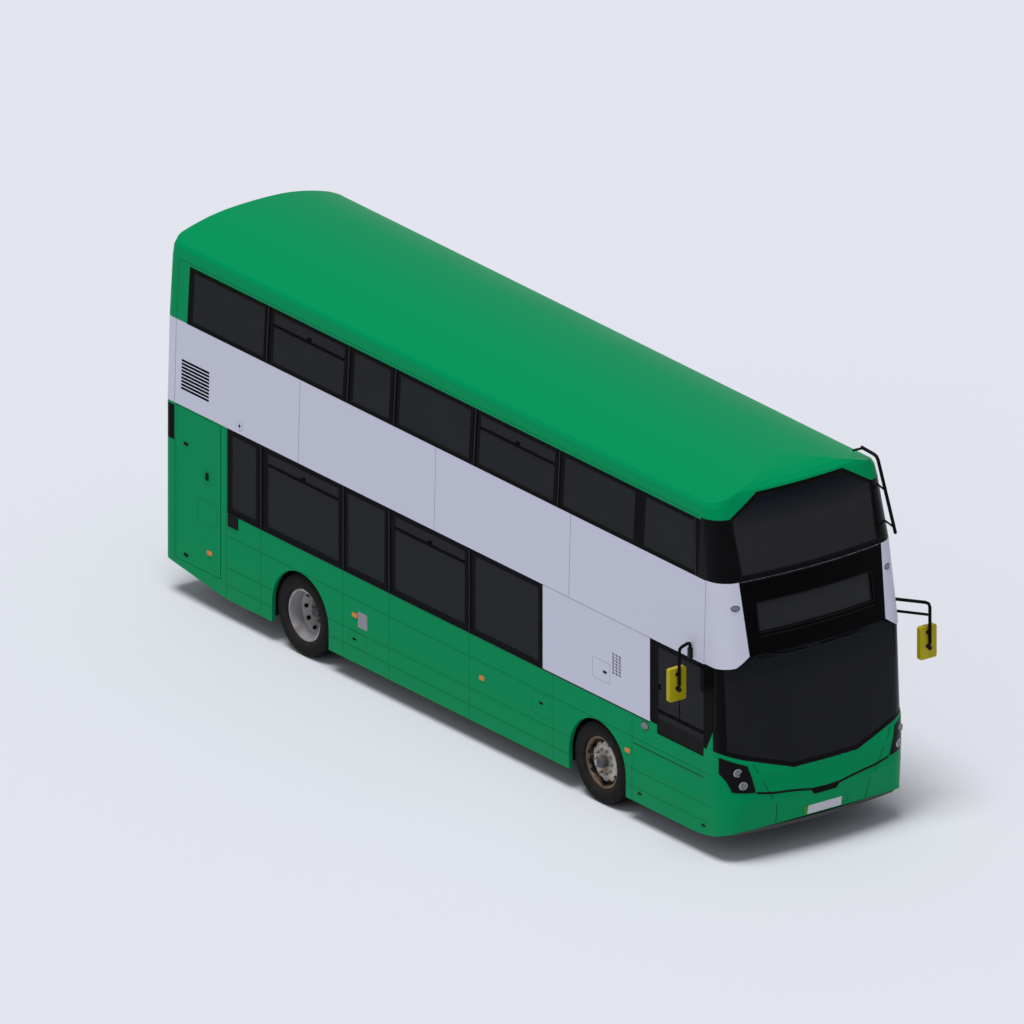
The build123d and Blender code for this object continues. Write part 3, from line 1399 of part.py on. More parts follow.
# ---------------------------------------------------------------- handrail poles
pole_radius = 16
pole_x = seat_outer_x - seat_width - 24
lower_pole_backs = [1900, 3500, 5200, 6900]
with BuildPart() as handrails:
    for back in lower_pole_backs:
        for x in (-pole_x, pole_x):
            with Locations((x, along(back), low_floor_z)):
                Cylinder(pole_radius, upper_floor_z - upper_floor_plate - low_floor_z,
                         align=(Align.CENTER, Align.CENTER, Align.MIN))
    well_x = -stair_inner_x + 40
    for back in (stairwell_back[0] + 60, stairwell_back[1]):
        with Locations((well_x, along(back), upper_floor_z)):
            Cylinder(pole_radius, 900, align=(Align.CENTER, Align.CENTER, Align.MIN))
    with Locations((well_x, along(sum(stairwell_back) / 2 + 30), upper_floor_z + 900)):
        Box(28, stairwell_back[1] - stairwell_back[0], 28)
        with Locations((0, 0, -450)):
            Box(20, stairwell_back[1] - stairwell_back[0], 20)
handrails.part.label = "handrails"
export_step(handrails.part, "parts/handrails.step")

# ---------------------------------------------------------------- headlamp clusters
cluster_corners = [(1255, 1265), (1025, 1180), (928, 850), (1173, 872), (1213, 990), (1255, 1077)]
cluster_back = 330
cluster_lift = 6
cluster_outer = front_block(lower_levels, side_split_back, -cluster_lift)
cluster_prism = front_view(cluster_corners, cluster_back)
with BuildPart() as headlamps:
    add(cluster_outer)
    add(lower_skin, mode=Mode.SUBTRACT)
    add(cluster_prism, mode=Mode.INTERSECT)
    mirror(about=Plane.YZ)
headlamps.part.label = "headlamps"
export_step(headlamps.part, "parts/headlamps.step")

# ---------------------------------------------------------------- wipers
wiper_z = 2370
blade_length = 620
blade_starts = (-760, 60)     # offside end of each blade
wiper_y = along(145)
wiper_top = 2453
with BuildPart() as wipers:
    for x_from in blade_starts:
        with Locations((x_from + blade_length / 2, wiper_y, wiper_z)):
            Box(blade_length, 10, 14)
        with BuildSketch(Plane.XZ.offset(-wiper_y)):
            with BuildLine():
                Polyline((x_from - 90, wiper_top), (x_from - 70, wiper_top), (x_from + 330, wiper_z + 6),
                         (x_from + 330, wiper_z - 6), close=True)
            make_face()
        extrude(amount=5, both=True)
    add(destination_panel.part, mode=Mode.SUBTRACT)
wipers.part.label = "wipers"
export_step(wipers.part, "parts/wipers.step")


# ---------------------------------------------------------------- mirrors
def tube(points, radius, bend):
    """Round tube along straight runs joined by bends."""
    with BuildPart() as pipe:
        with BuildLine() as path:
            if len(points) > 2:
                FilletPolyline(*points, radius=bend)
            else:
                Line(*points)
        with BuildSketch(Plane(origin=path.line @ 0, z_dir=path.line % 0)):
            Circle(radius)
        sweep()
    return pipe.part


mirror_x = 1490
arm_tube = 13
head_size = (230, 60, 390)
offside_mirror_y = along(740)
nearside_mirror_y = along(70)
mirror_ball_z = 2000
offside_arm = tube([(-half_width - 20, along(820), 2330), (-half_width - 20, along(820), 2500),
                    (-mirror_x, offside_mirror_y, 2500), (-mirror_x, offside_mirror_y, mirror_ball_z)],
                   arm_tube, 50)
nearside_arm = tube([(1190, along(400), 2560), (mirror_x, nearside_mirror_y, 2540),
                     (mirror_x, nearside_mirror_y, mirror_ball_z)], arm_tube, 50)
nearside_strut = tube([(1190, along(400), 2420), (mirror_x - 20, nearside_mirror_y + 15, 2400),
                       (mirror_x, nearside_mirror_y, 2380)], arm_tube * 0.8, 8)
with BuildPart() as mirror_arms:
    add(nearside_arm)
    add(nearside_strut)
    add(panel_skin, mode=Mode.SUBTRACT)
    add(offside_arm)
    with Locations((-half_width, along(820), 2370)):
        Box(40, 50, 120, align=(Align.MAX, Align.CENTER, Align.CENTER))
    with Locations((-mirror_x, offside_mirror_y, mirror_ball_z),
                   (mirror_x, nearside_mirror_y, mirror_ball_z)):
        Sphere(26)
mirror_arms.part.label = "mirror_arms"
export_step(mirror_arms.part, "parts/mirror_arms.step")

with BuildPart() as mirror_heads:
    for x, y in ((-mirror_x, offside_mirror_y), (mirror_x, nearside_mirror_y)):
        with Locations((x, y + 26.3 + head_size[1] / 2, mirror_ball_z + 60)):
            Box(*head_size)
    fillet(mirror_heads.edges().filter_by(Axis.Y), 24)
mirror_heads.part.label = "mirror_heads"
export_step(mirror_heads.part, "parts/mirror_heads.step")

# ---------------------------------------------------------------- tree guard at the nearside roof corner
guard_radius = 14
guard_points = [(965, along(790), 4262), (1000, along(640), 4330), (1050, along(460), 4280),
                (1100, along(390), 3920), (1120, along(210), 3410)]
guard_tube = tube(guard_points, guard_radius, 60)
guard_struts = [
    tube([(1075, along(640), 3960), (1103, along(375), 3880)], guard_radius * 0.8, 0),
    tube([(1130, along(560), 3520), (1118, along(230), 3480)], guard_radius * 0.8, 0),
]
with BuildPart() as tree_guard:
    add(guard_tube)
    for strut in guard_struts:
        add(strut)
    add(roof_skin, mode=Mode.SUBTRACT)
    add(frame_skin, mode=Mode.SUBTRACT)
tree_guard.part.label = "tree_guard"
export_step(tree_guard.part, "parts/tree_guard.step")
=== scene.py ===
import math
from functools import partial

import bmesh
import bpy
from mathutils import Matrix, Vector
from mathutils.bvhtree import BVHTree


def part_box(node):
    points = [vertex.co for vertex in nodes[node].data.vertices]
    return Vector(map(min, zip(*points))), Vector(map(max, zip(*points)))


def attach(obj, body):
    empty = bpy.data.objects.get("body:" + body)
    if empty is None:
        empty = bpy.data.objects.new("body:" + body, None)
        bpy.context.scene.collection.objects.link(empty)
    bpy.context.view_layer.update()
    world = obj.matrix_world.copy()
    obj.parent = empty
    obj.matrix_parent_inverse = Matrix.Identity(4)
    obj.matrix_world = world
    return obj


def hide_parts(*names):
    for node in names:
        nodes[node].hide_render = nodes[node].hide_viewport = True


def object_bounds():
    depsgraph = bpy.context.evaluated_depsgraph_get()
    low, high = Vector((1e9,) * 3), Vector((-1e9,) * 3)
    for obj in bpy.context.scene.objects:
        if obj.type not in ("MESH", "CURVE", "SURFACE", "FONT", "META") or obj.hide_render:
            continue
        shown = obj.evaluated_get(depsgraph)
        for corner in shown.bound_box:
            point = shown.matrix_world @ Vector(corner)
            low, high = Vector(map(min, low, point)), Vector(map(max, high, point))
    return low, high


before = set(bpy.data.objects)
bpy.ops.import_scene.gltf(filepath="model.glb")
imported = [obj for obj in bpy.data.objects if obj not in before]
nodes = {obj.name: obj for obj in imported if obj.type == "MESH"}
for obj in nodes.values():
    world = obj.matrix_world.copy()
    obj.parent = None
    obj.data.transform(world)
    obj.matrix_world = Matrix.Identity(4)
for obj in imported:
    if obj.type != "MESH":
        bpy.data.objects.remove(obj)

cad_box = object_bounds()

# ---- studio
# A large pale floor with soft daylight from above and from the front left, and a
# parallel camera that looks down on the offside front corner.
camera_azimuth = math.radians(-36.96)
camera_elevation = math.radians(21.89)
camera_distance = 30
view_depth = 200
view_width = 11.378
view_centre = (-0.314, 2.145)  # along the camera's right and up, from the origin
floor_half = 80
floor_drop = 0.002
sky_strength = 0.36
lamps = {"key_lamp": ((0.20, 0.05, -1.0), 2.30, 25), "side_lamp": ((1.0, 0.30, -0.50), 0.15, 40)}


def add_object(name, data):
    """Puts an object into the scene."""
    made = bpy.data.objects.new(name, data)
    bpy.context.scene.collection.objects.link(made)
    return made


def aim(thing, direction):
    """Turns a camera or lamp to look along a direction."""
    thing.rotation_mode = "QUATERNION"
    thing.rotation_quaternion = Vector(direction).to_track_quat("-Z", "Y")


def colour(code):
    """Linear RGBA of an sRGB hex colour."""
    parts = [int(code[i:i + 2], 16) / 255 for i in (1, 3, 5)]
    return tuple(c / 12.92 if c < 0.04045 else ((c + 0.055) / 1.055) ** 2.4 for c in parts) + (1.0,)


def feed(node, *values, **named):
    """Sets or links a node's first inputs, or those named, with _ for each space.

    A value may be a socket, a hex colour, or a node, which stands for its first output in use.
    """
    pairs = list(zip(node.inputs, values))
    for name, value in named.items():
        pairs.append((next(socket for socket in node.inputs
                           if socket.name == name.replace("_", " ") and socket.enabled), value))
    for socket, value in pairs:
        if isinstance(value, bpy.types.Node):
            value = next(output for output in value.outputs if output.enabled)
        if isinstance(value, bpy.types.NodeSocket):
            node.id_data.links.new(value, socket)
        else:
            socket.default_value = colour(value) if isinstance(value, str) else value


def add_node(tree, kind, *values, **named):
    """Adds one shader node with its settings, and feeds its inputs."""
    made = tree.nodes.new("ShaderNode" + kind)
    for name in [name for name in named if hasattr(made, name)]:
        setattr(made, name, named.pop(name))
    feed(made, *values, **named)
    return made


def new_material(name, **sockets):
    """A material, its Principled shader, what adds nodes to it, and its place at rest in metres."""
    made = bpy.data.materials.new(name)
    made.use_nodes = True
    made.node_tree.nodes.clear()
    add = partial(add_node, made.node_tree)
    shader = add("BsdfPrincipled", **sockets)
    add("OutputMaterial", Surface=shader)
    return made, shader, add, add("TexCoord").outputs["Object"]


camera_data = bpy.data.cameras.new("camera")
camera_data.type = "ORTHO"
camera_data.ortho_scale = view_width
camera_data.clip_end = view_depth
camera = add_object("camera", camera_data)
bpy.context.scene.camera = camera
towards = Vector((math.sin(camera_azimuth) * math.cos(camera_elevation),
                  -math.cos(camera_azimuth) * math.cos(camera_elevation), math.sin(camera_elevation)))
aim(camera, -towards)
turn = camera.rotation_quaternion.to_matrix()
camera.location = turn.col[0] * view_centre[0] + turn.col[1] * view_centre[1] + towards * camera_distance

floor_mesh = bpy.data.meshes.new("studio_floor")
corners = [(-1, -1), (1, -1), (1, 1), (-1, 1)]
floor_mesh.from_pydata([(x * floor_half, y * floor_half, 0) for x, y in corners], [], [(0, 1, 2, 3)])
floor_mesh.materials.append(new_material("pale_studio_floor", Roughness=0.85, Base_Color="#dfe1e8")[0])
studio_floor = add_object("studio_floor", floor_mesh)
studio_floor.location.z = -floor_drop

world = bpy.data.worlds.new("studio_light")
world.use_nodes = True
feed(world.node_tree.nodes["Background"], Color="#eef1f6", Strength=sky_strength)
bpy.context.scene.world = world
bpy.context.scene.view_settings.view_transform = "Standard"
for name, (direction, strength, softness) in lamps.items():
    lamp_data = bpy.data.lights.new(name, "SUN")
    lamp_data.energy = strength
    lamp_data.angle = math.radians(softness)
    aim(add_object(name, lamp_data), direction)

# ---- painted body panels
# Aluminium sides and glass-fibre ends in two-pack coach enamel: green below and on the
# roof, white between the decks, and black round the windows, masked off in one plane.
front_y = cad_box[0].y
skirt = 0.25
deck_split = 2.30  # joint between the lower and the upper side panels
waist = 3.295  # foot of the black band on the upper deck
cantrail = 3.97
lower_trim_foot = 1.29
cab_trim_foot = 1.17
cab_end = 1.59  # this and the next ones are distances behind the front
white_end = 3.57
windows_end = 9.40
upper_windows_end = 10.18
body_end = 10.6
louvre_middle, louvre_pitch, slot_half = 2.675, 0.0411, 0.0135
GREEN = "#008f58"
WHITE = "#cfcfe1"
BLACK = "#040405"
LINING = "#9a9c9d"
ROAD_FILM = "#5f5c50"


def dress(material, *names):
    """Gives CAD nodes one material."""
    for name in names:
        mesh = nodes[name].data
        mesh.materials.clear()
        mesh.materials.append(material)


def straight(*points):
    """Route through points given as a distance behind the front and a height."""
    return [(front_y + back, z) for back, z in points]


def field(backs, heights, code=BLACK):
    """Upright rectangle of one colour, from distances behind the front and heights."""
    (near, far), (low, high) = backs, heights
    return straight((near, low), (far, low), (far, high), (near, high)), code


def lay_fields(add, place_on, ground, fields):
    """Masks off straight-sided fields over a ground colour; corners are Y and Z, anticlockwise."""
    for corners, code in fields:
        mask = 1.0
        for (y, z), (next_y, next_z) in zip(corners, corners[1:] + corners[:1]):
            inward = (0, z - next_z, next_y - y)
            reach = add("VectorMath", place_on, inward, operation="DOT_PRODUCT")
            side = add("Math", reach, inward[1] * y + inward[2] * z, operation="GREATER_THAN")
            mask = add("Math", side, mask, operation="MULTIPLY")
        ground = add("Mix", Factor=mask, A=ground, B=code, data_type="RGBA")
    return ground


def mirror_plane(add, axes):
    """Distance from the centreline and height in place of Y and Z."""
    return add("CombineXYZ", Y=add("Math", axes.outputs["X"], operation="ABSOLUTE"), Z=axes.outputs["Z"])


def enamel(name, fields, ground, mirrored=False, lined=None):
    """Gloss enamel: faint orange peel, cloudy gloss, and road film that thickens near the skirt.

    A panel that has a lining across the axis named by lined is grey on its inner face.
    """
    made, shader, add, spot = new_material(name, Specular_IOR_Level=0.03)
    axes = add("SeparateXYZ", spot)
    base = lay_fields(add, mirror_plane(add, axes) if mirrored else spot, ground, fields)
    cloud = add("TexNoise", Vector=spot, Scale=1.7, Detail=5.0)
    low = add("MapRange", Value=axes.outputs["Z"], From_Min=skirt, From_Max=0.8, To_Min=0.10, To_Max=0.0)
    film = add("Math", low, cloud, operation="MULTIPLY")
    paint = add("Mix", Factor=film, A=base, B=ROAD_FILM, data_type="RGBA")
    if lined:
        way = add("SeparateXYZ", add("TexCoord").outputs["Normal"])
        outward = add("Math", way.outputs[lined], axes.outputs[lined], operation="MULTIPLY")
        inner = add("Math", outward, -0.5, operation="LESS_THAN")
        paint = add("Mix", Factor=inner, A=paint, B=LINING, data_type="RGBA")
    peel = add("TexNoise", Vector=spot, Scale=160.0, Detail=2.0)
    feed(shader,
         Base_Color=paint,
         Roughness=add("MapRange", Value=cloud, To_Min=0.26, To_Max=0.36),
         Normal=add("Bump", Height=peel, Strength=0.04, Distance=0.002))
    return made


between_decks = field((0, body_end), (deck_split, waist), WHITE)
upper_band = field((0.40, upper_windows_end), (waist, cantrail))
cab_panel = (straight((0.30, deck_split), (0.30, 1.30), (0.545, 1.30), (0.61, cab_trim_foot),
                      (1.437, cab_trim_foot), (cab_end, 1.335), (cab_end, deck_split)), BLACK)
# The louvre slots are holes in the panel; the black fields laid over them are painted shade in the slots.
louvre_slot_shade = [field((9.75, 10.26), (z - slot_half, z + slot_half))
                for z in (louvre_middle + louvre_pitch * (i - 4) for i in range(9))]
dress(enamel("coach_enamel_offside", [
    between_decks, *louvre_slot_shade, upper_band, field((cab_end, white_end), (lower_trim_foot, deck_split), WHITE),
    field((white_end, windows_end), (lower_trim_foot, deck_split)), cab_panel,
], GREEN, lined="X"), "offside_lower_side", "offside_upper_side")
dress(enamel("coach_enamel_nearside", [
    between_decks, upper_band, field((0.43, windows_end), (lower_trim_foot, deck_split)),
    field((0.43, 0.58), (skirt, deck_split)),
], GREEN, lined="X"), "nearside_lower_side", "nearside_upper_side")
dress(enamel("coach_enamel_rear", [between_decks, field((10, body_end), (1.85, 2.27))], GREEN, lined="Y"),
      "rear_panel")
sign_surround = [(-0.5, 2.2), (0.932, 2.2), (0.988, 3.30), (-0.5, 3.30)]
dress(enamel("coach_enamel_sign_panel", [(sign_surround, BLACK)], WHITE, mirrored=True, lined="Y"),
      "destination_panel")
for axis, panels in (("X", ["side_engine_door"]), ("Y", ["front_lower_panel", "engine_door"]), ("Z", ["roof"])):
    dress(enamel(f"coach_enamel_green_lined_{axis.lower()}", [], GREEN, lined=axis), *panels)

# ---- black gel-coated trim
# Glass-fibre mouldings with a black gel coat round the upper windscreen and the lamps,
# and the door leaves' black-painted aluminium frames: glossy, with faint flow marks.


def two_tone(name, pattern, dark, light, rough, specular=0.5, relief=None, grain=None, stretch=None, **sockets):
    """A finish in two shades that follow a pattern; rough is one roughness, or one for each shade.

    A pattern is a kind of texture, its scale and, where wanted, one more of its values.
    relief is a bump's strength and depth; it follows the grain, a second pattern, or else
    the first, which stretch draws out along an axis.
    """
    made, shader, add, spot = new_material(name, Specular_IOR_Level=specular, **sockets)
    if stretch:
        spot = add("Mapping", Vector=spot, Scale=stretch)
    last = {"Noise": "Detail", "Voronoi": "Randomness", "Wave": "bands_direction"}
    laid = [add("Tex" + kind, Vector=spot, Scale=scale, **{last[kind]: value for value in more})
            for kind, scale, *more in filter(None, (pattern, grain))]
    if isinstance(rough, tuple):
        rough = add("MapRange", Value=laid[0], To_Min=rough[0], To_Max=rough[1])
    feed(shader, Roughness=rough, Base_Color=add("Mix", Factor=laid[0], A=dark, B=light, data_type="RGBA"))
    if relief:
        feed(shader, Normal=add("Bump", Height=laid[-1], Strength=relief[0], Distance=relief[1]))
    return made


black_gel = two_tone("black_gel_coat", ("Noise", 6.0, 4.0), "#060607", "#0e0e10", (0.2, 0.36), 0.07)
dress(black_gel, "upper_front_frame", "headlamps", "front_door_leaf", "rear_door_leaf")

# ---- tinted glazing
# Toughened side windows and laminated screens with a dark grey tint, bonded in from
# outside over a black ceramic edge; wiped clean, with the faintest smears in the gloss.
screen_edge = 0.055  # black ceramic print along the edge of the lower windscreen
SHADE_BAND = "#10161e"


def tinted(name, fields, see_through, band=None, tints=("#1a1b1e", "#202125"), mirrored=False):
    """Grey-tinted glass with printed black fields and, for a screen, a blue shade band between two heights."""
    made, shader, add, spot = new_material(name, Specular_IOR_Level=0.07, IOR=1.5, Alpha=see_through)
    axes = add("SeparateXYZ", spot)
    smear = add("TexNoise", Vector=spot, Scale=2.4, Detail=4.0)
    tone = add("Mix", Factor=smear, A=tints[0], B=tints[1], data_type="RGBA")
    if band:
        shade = add("MapRange", Value=axes.outputs["Z"], From_Min=band[0], From_Max=band[1])
        tone = add("Mix", Factor=shade, A=tone, B=SHADE_BAND, data_type="RGBA")
    feed(shader,
         Base_Color=lay_fields(add, mirror_plane(add, axes) if mirrored else spot, tone, fields),
         Roughness=add("MapRange", Value=smear, To_Min=0.05, To_Max=0.12))
    return made


dress(tinted("tinted_side_glass", [field((0.50, 1.55), (1.1, 1.385)), field((0.50, 1.55), (1.45, 1.50))], 0.93),
      "offside_windows")
dress(tinted("tinted_door_glass", [], 0.8), "nearside_windows", "rear_window", "front_door_glass",
      "rear_door_glass")
dress(tinted("tinted_screen_glass", [
    ([(-0.5, 1.0), (0.44, 1.0), (0.44, 1.06 + screen_edge), (-0.5, 1.06 + screen_edge)], BLACK),
    ([(0.44, 1.0), (1.4, 1.0), (1.4, 1.36 + screen_edge), (0.44, 1.06 + screen_edge)], BLACK),
    ([(1.2, 1.0), (1.4, 1.0), (1.4, 2.5), (1.2, 2.5)], BLACK),
], 0.92, (2.10, 2.42), mirrored=True), "lower_windscreen")
dress(tinted("tinted_upper_screen_glass", [], 0.92, (3.85, 4.15), ("#29292b", "#303032")), "upper_windscreen")

# ---- panel joints
# The panels are screwed and glued to the frame with a few millimetres between them; a
# bead of grey-black polyurethane sealant fills each joint. Black mouldings cover the waist.
seam = 0.004
front_gap = 0.009  # open shut lines of the bonnet and the bumper corners
apron_gap = 0.014  # open joint over the front wheel's panel
moulding = 0.014
sides = ("offside", "nearside")
look = {"offside": Vector((1, 0, 0)), "nearside": Vector((-1, 0, 0)), "front": Vector((0, 1, 0)),
        "rear": Vector((0, -1, 0))}    # the way one looks at each face
skin_points, skin_faces = [], []
for name in (
    "front_lower_panel", "lower_windscreen", "destination_panel", "upper_front_frame", "upper_windscreen",
    "destination_display", "roof", "offside_lower_side", "nearside_lower_side", "offside_upper_side",
    "nearside_upper_side", "offside_windows", "nearside_windows", "rear_panel", "rear_window",
    "engine_door", "side_engine_door", "headlamps", "front_door_leaf", "rear_door_leaf",
    "front_door_glass", "rear_door_glass", "rear_lamps",
):
    start = len(skin_points)
    skin_points += [vertex.co.copy() for vertex in nodes[name].data.vertices]
    skin_faces += [[start + corner for corner in polygon.vertices] for polygon in nodes[name].data.polygons]
skin = BVHTree.FromPolygons(skin_points, skin_faces)


def on_skin(face, a, b):
    """Point and outward normal of the body's skin at Y, Z on a side, or at X, Z on an end."""
    way = look[face]
    start = Vector((0, a, b)) if way.x else Vector((a, 0, b))
    hit, normal, _, _ = skin.ray_cast(start - way * 8, way)
    return hit, -normal if normal.dot(way) > 0 else normal


def add_bar(shape, rings, closed=False):
    """Joins rings of points to a bar, with its ends capped or met."""
    verts = [[shape.verts.new(point) for point in ring] for ring in rings]
    count = len(rings[0])
    for first, second in zip(verts, verts[1:] + (verts[:1] if closed else [])):
        for i in range(count):
            shape.faces.new((first[i], first[(i + 1) % count], second[(i + 1) % count], second[i]))
    if not closed:
        shape.faces.new(list(reversed(verts[0])))
        shape.faces.new(verts[-1])


def add_bead(shape, face, route, width, proud=0.0008, closed=False, step=0.15, buried=0.002):
    """Bead that lies on the skin along a route, partly buried in it."""
    stations = []
    for (a, b), (next_a, next_b) in zip(route, route[1:] + (route[:1] if closed else [])):
        count = max(1, math.ceil(math.dist((a, b), (next_a, next_b)) / step))
        stations += [(a + (next_a - a) * i / count, b + (next_b - b) * i / count) for i in range(count)]
    if not closed:
        stations.append(route[-1])
    spots = [on_skin(face, a, b) for a, b in stations]
    rings = []
    for i, (spot, normal) in enumerate(spots):
        before = spots[i - 1][0] if i or closed else spot
        after = spots[(i + 1) % len(spots)][0] if i + 1 < len(spots) or closed else spot
        come, go = (spot - before).normalized(), (after - spot).normalized()
        run = (come + go).normalized()
        mitre = max(0.5, run.dot(go if go.length else come))
        side = normal.cross(run).normalized() * width / 2 / mitre
        low, high = spot - normal * buried, spot + normal * proud
        rings.append((low - side, low + side, high + side * 0.8, high - side * 0.8))
    add_bar(shape, rings, closed)


def to_mesh(name, shape, material, crease=None):
    """Mesh of a finished shape, smooth but for edges sharper than the crease in degrees."""
    bmesh.ops.recalc_face_normals(shape, faces=shape.faces)
    mesh = bpy.data.meshes.new(name)
    shape.to_mesh(mesh)
    shape.free()
    if material:
        mesh.materials.append(material)
        mesh.shade_smooth()
    if crease:
        mesh.set_sharp_from_angle(angle=math.radians(crease))
    return mesh


def place(name, shape, material, body="body", crease=35):
    """Makes a piece from a finished shape; it rides on a body and takes the given finish."""
    piece = add_object(name, to_mesh(name, shape, material, crease))
    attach(piece, body)
    return piece


sealant = two_tone("polyurethane_sealant", ("Noise", 60.0, 3.0), "#101114", "#1b1c20", 0.7, 0.1, relief=(0.3, 0.001))

rear_joint, corner_joint = windows_end + 0.02, 10.375
skirt_line = skirt + 0.002
arch_breaks = {  # heights of the long joints, and where each is broken
    0.63: (2.05, 3.07, 7.54, 8.56),
    0.424: (2.03, 3.09, 7.52, 8.58),
    1.01: (2.5, 2.5),
}
upright_joints = {  # foot and head, and where each upright joint stands
    (skirt_line, lower_trim_foot): (3.38, 4.93, 6.41, 7.26, 8.78),
    (skirt_line + 0.01, deck_split): (rear_joint,),
    (deck_split, waist): (3.09, 5.58, 8.09),
    (deck_split + 0.01, 3.985): (0.592, corner_joint),
    (0.40, deck_split - 0.01): (corner_joint,),
}

joints, gaps = bmesh.new(), bmesh.new()
add_joint = partial(add_bead, joints, width=seam)
for face in sides:
    first = 0.45 if face == "offside" else 1.88
    for height, breaks in arch_breaks.items():
        ends = (first, *breaks, rear_joint)
        for near, far in zip(ends[::2], ends[1::2]):
            add_joint(face, straight((near, height), (far, height)))
    for (foot, head), backs in upright_joints.items():
        for back in backs:
            add_joint(face, straight((back, foot), (back, head)))
    add_joint(face, straight((0.75, 4.003), (10.37, 4.003)))
    add_joint(face, straight((rear_joint, deck_split), (10.37, deck_split)))
add_joint("offside", straight((1.92, skirt_line), (1.92, lower_trim_foot)))
add_joint("offside", straight((cab_end, deck_split), (white_end, deck_split)))
place("panel_joints", joints, sealant)

for side in (-1, 1):
    add_bead(gaps, "front", [(side * x, z) for x, z in ((0.955, 1.19), (0.768, 0.833), (0.642, 0.625), (0.62, 0.40))],
             front_gap)
add_bead(gaps, "offside", straight((0.60, 0.945), (1.90, 0.945)), apron_gap)
for face in sides:
    add_bead(gaps, face, straight((white_end, deck_split), (windows_end, deck_split)), moulding / 2)
    add_bead(gaps, face, straight((0.60, waist), (upper_windows_end, waist)), moulding / 2)
for face, near in (("offside", 1.585), ("nearside", 1.90)):
    add_bead(gaps, face, straight((near, lower_trim_foot), (windows_end, lower_trim_foot)), moulding, proud=0.003)
place("shut_lines_and_mouldings", gaps, sealant)

# ---- window seals, bars and pillar covers
# Each pane sits in the black sheet with a rubber seal round it. Hopper windows have a black
# aluminium bar and a toggle catch; grooved covers hide the joints of the black sheets.
seal_width = 0.012
bar_width = 0.038
glass_corner = 0.016
lower_glass = (1.36, 2.24)
upper_glass = (3.34, 3.92)
lower_panes = [(3.65, 4.83), (5.01, 6.31), (6.49, 7.18), (7.34, 8.66), (8.87, 9.32)]
upper_panes = [(1.94, 3.25), (3.42, 4.81), (4.98, 6.29), (6.46, 7.14), (7.31, 8.62), (8.78, 10.10)]
panes_of = {"offside": lower_panes, "nearside": [(1.98, 3.25), (3.42, 4.83)] + lower_panes[1:]}
slanted_pane = [(0.80, 3.34), (1.76, 3.34), (1.76, 3.92), (0.86, 3.92)]


def add_plate(shape, face, outline, proud, chamfer=0.0015, buried=0.003):
    """Plate with an outline on one face; it follows the skin and its front edge is broken."""
    middle = [sum(values) / len(outline) for values in zip(*outline)]
    reach = max(math.dist(point, middle) for point in outline)
    rings = []
    for shrink, lift in ((0, -buried), (0, proud - chamfer), (chamfer / reach, proud)):
        spots = [on_skin(face, a + (middle[0] - a) * shrink, b + (middle[1] - b) * shrink) for a, b in outline]
        rings.append([spot + normal * lift for spot, normal in spots])
    add_bar(shape, rings)


def rounded(a_span, b_span, radius, steps=4):
    """Rectangle with rounded corners."""
    outline = []
    for quarter, (sign_a, sign_b) in enumerate(((1, 1), (-1, 1), (-1, -1), (1, -1))):
        centre_a = (max(a_span) - radius) if sign_a > 0 else (min(a_span) + radius)
        centre_b = (max(b_span) - radius) if sign_b > 0 else (min(b_span) + radius)
        for i in range(steps + 1):
            angle = (quarter + i / steps) * math.pi / 2
            outline.append((centre_a + radius * math.cos(angle), centre_b + radius * math.sin(angle)))
    return outline


def panel(back, height, half_back, half_height, radius):
    """Rounded rectangle round a spot that is given as a distance behind the front and a height."""
    a = front_y + back
    return rounded((a - half_back, a + half_back), (height - half_height, height + half_height), radius)


rubber = two_tone("epdm_rubber_seal", ("Noise", 9.0, 6.0), "#0b0b0c", "#171718", (0.5, 0.75), 0.08)
black_aluminium = two_tone("black_anodised_aluminium", ("Noise", 1.0, 2.0), "#040305", "#09080b", 0.42, 0.02,
                           stretch=(400.0, 2.0, 400.0))
grey_aluminium = two_tone("grey_anodised_aluminium", ("Noise", 1.0, 2.0), "#2b2b2f", "#3a3a3f", 0.45, 0.1,
                          stretch=(300.0, 300.0, 3.0))

seals, bars, covers = bmesh.new(), bmesh.new(), bmesh.new()
add_seal = partial(add_bead, seals, width=seal_width, proud=0.0015, closed=True, step=0.4)
for face in sides:
    for panes, heights in ((panes_of[face], lower_glass), (upper_panes, upper_glass)):
        for near, far in panes:
            add_seal(face, rounded((front_y + near, front_y + far), heights, glass_corner))
    add_seal(face, straight(*slanted_pane))
    for panes, height in (((lower_panes[1], lower_panes[3]), 2.10), ((upper_panes[1], upper_panes[4]), 3.77)):
        for near, far in panes:
            add_bead(bars, face, straight((near + 0.004, height), (far - 0.004, height)), bar_width, proud=0.007)
            add_plate(bars, face, panel((near + far) / 2, height + 0.036, 0.03, 0.014, 0.006), 0.014)
    for backs, low, high in (((3.34, 4.89, 6.37, 7.23, 8.72), waist + 0.01, cantrail - 0.01),
                             ((4.93, 6.41, 7.26, 8.78), lower_trim_foot + 0.01, deck_split - 0.01)):
        for back in backs:
            for shift in (-0.022, 0.022):
                add_bead(bars, face, straight((back + shift, low), (back + shift, high)), 0.03, proud=0.004)
            add_bead(covers, face, straight((back, low), (back, high)), 0.014, proud=0.002)
    add_bead(covers, face, straight((0.782, waist + 0.01), (0.845, cantrail - 0.01)), 0.012, proud=0.002)
add_bead(bars, "offside", straight((1.048, 1.48), (1.048, 2.235)), 0.014, proud=0.003)
add_bead(bars, "offside", straight((0.61, 1.475), (1.44, 1.475)), 0.05, proud=0.006)
add_plate(bars, "offside", panel(1.42, 1.765, 0.02, 0.025, 0.006), 0.012)
add_seal("offside", rounded((front_y + 0.60, front_y + 1.45), (1.20, 2.24), glass_corner))
place("window_seals", seals, rubber)
place("window_bars", bars, black_aluminium)
place("pillar_covers", covers, grey_aluminium)

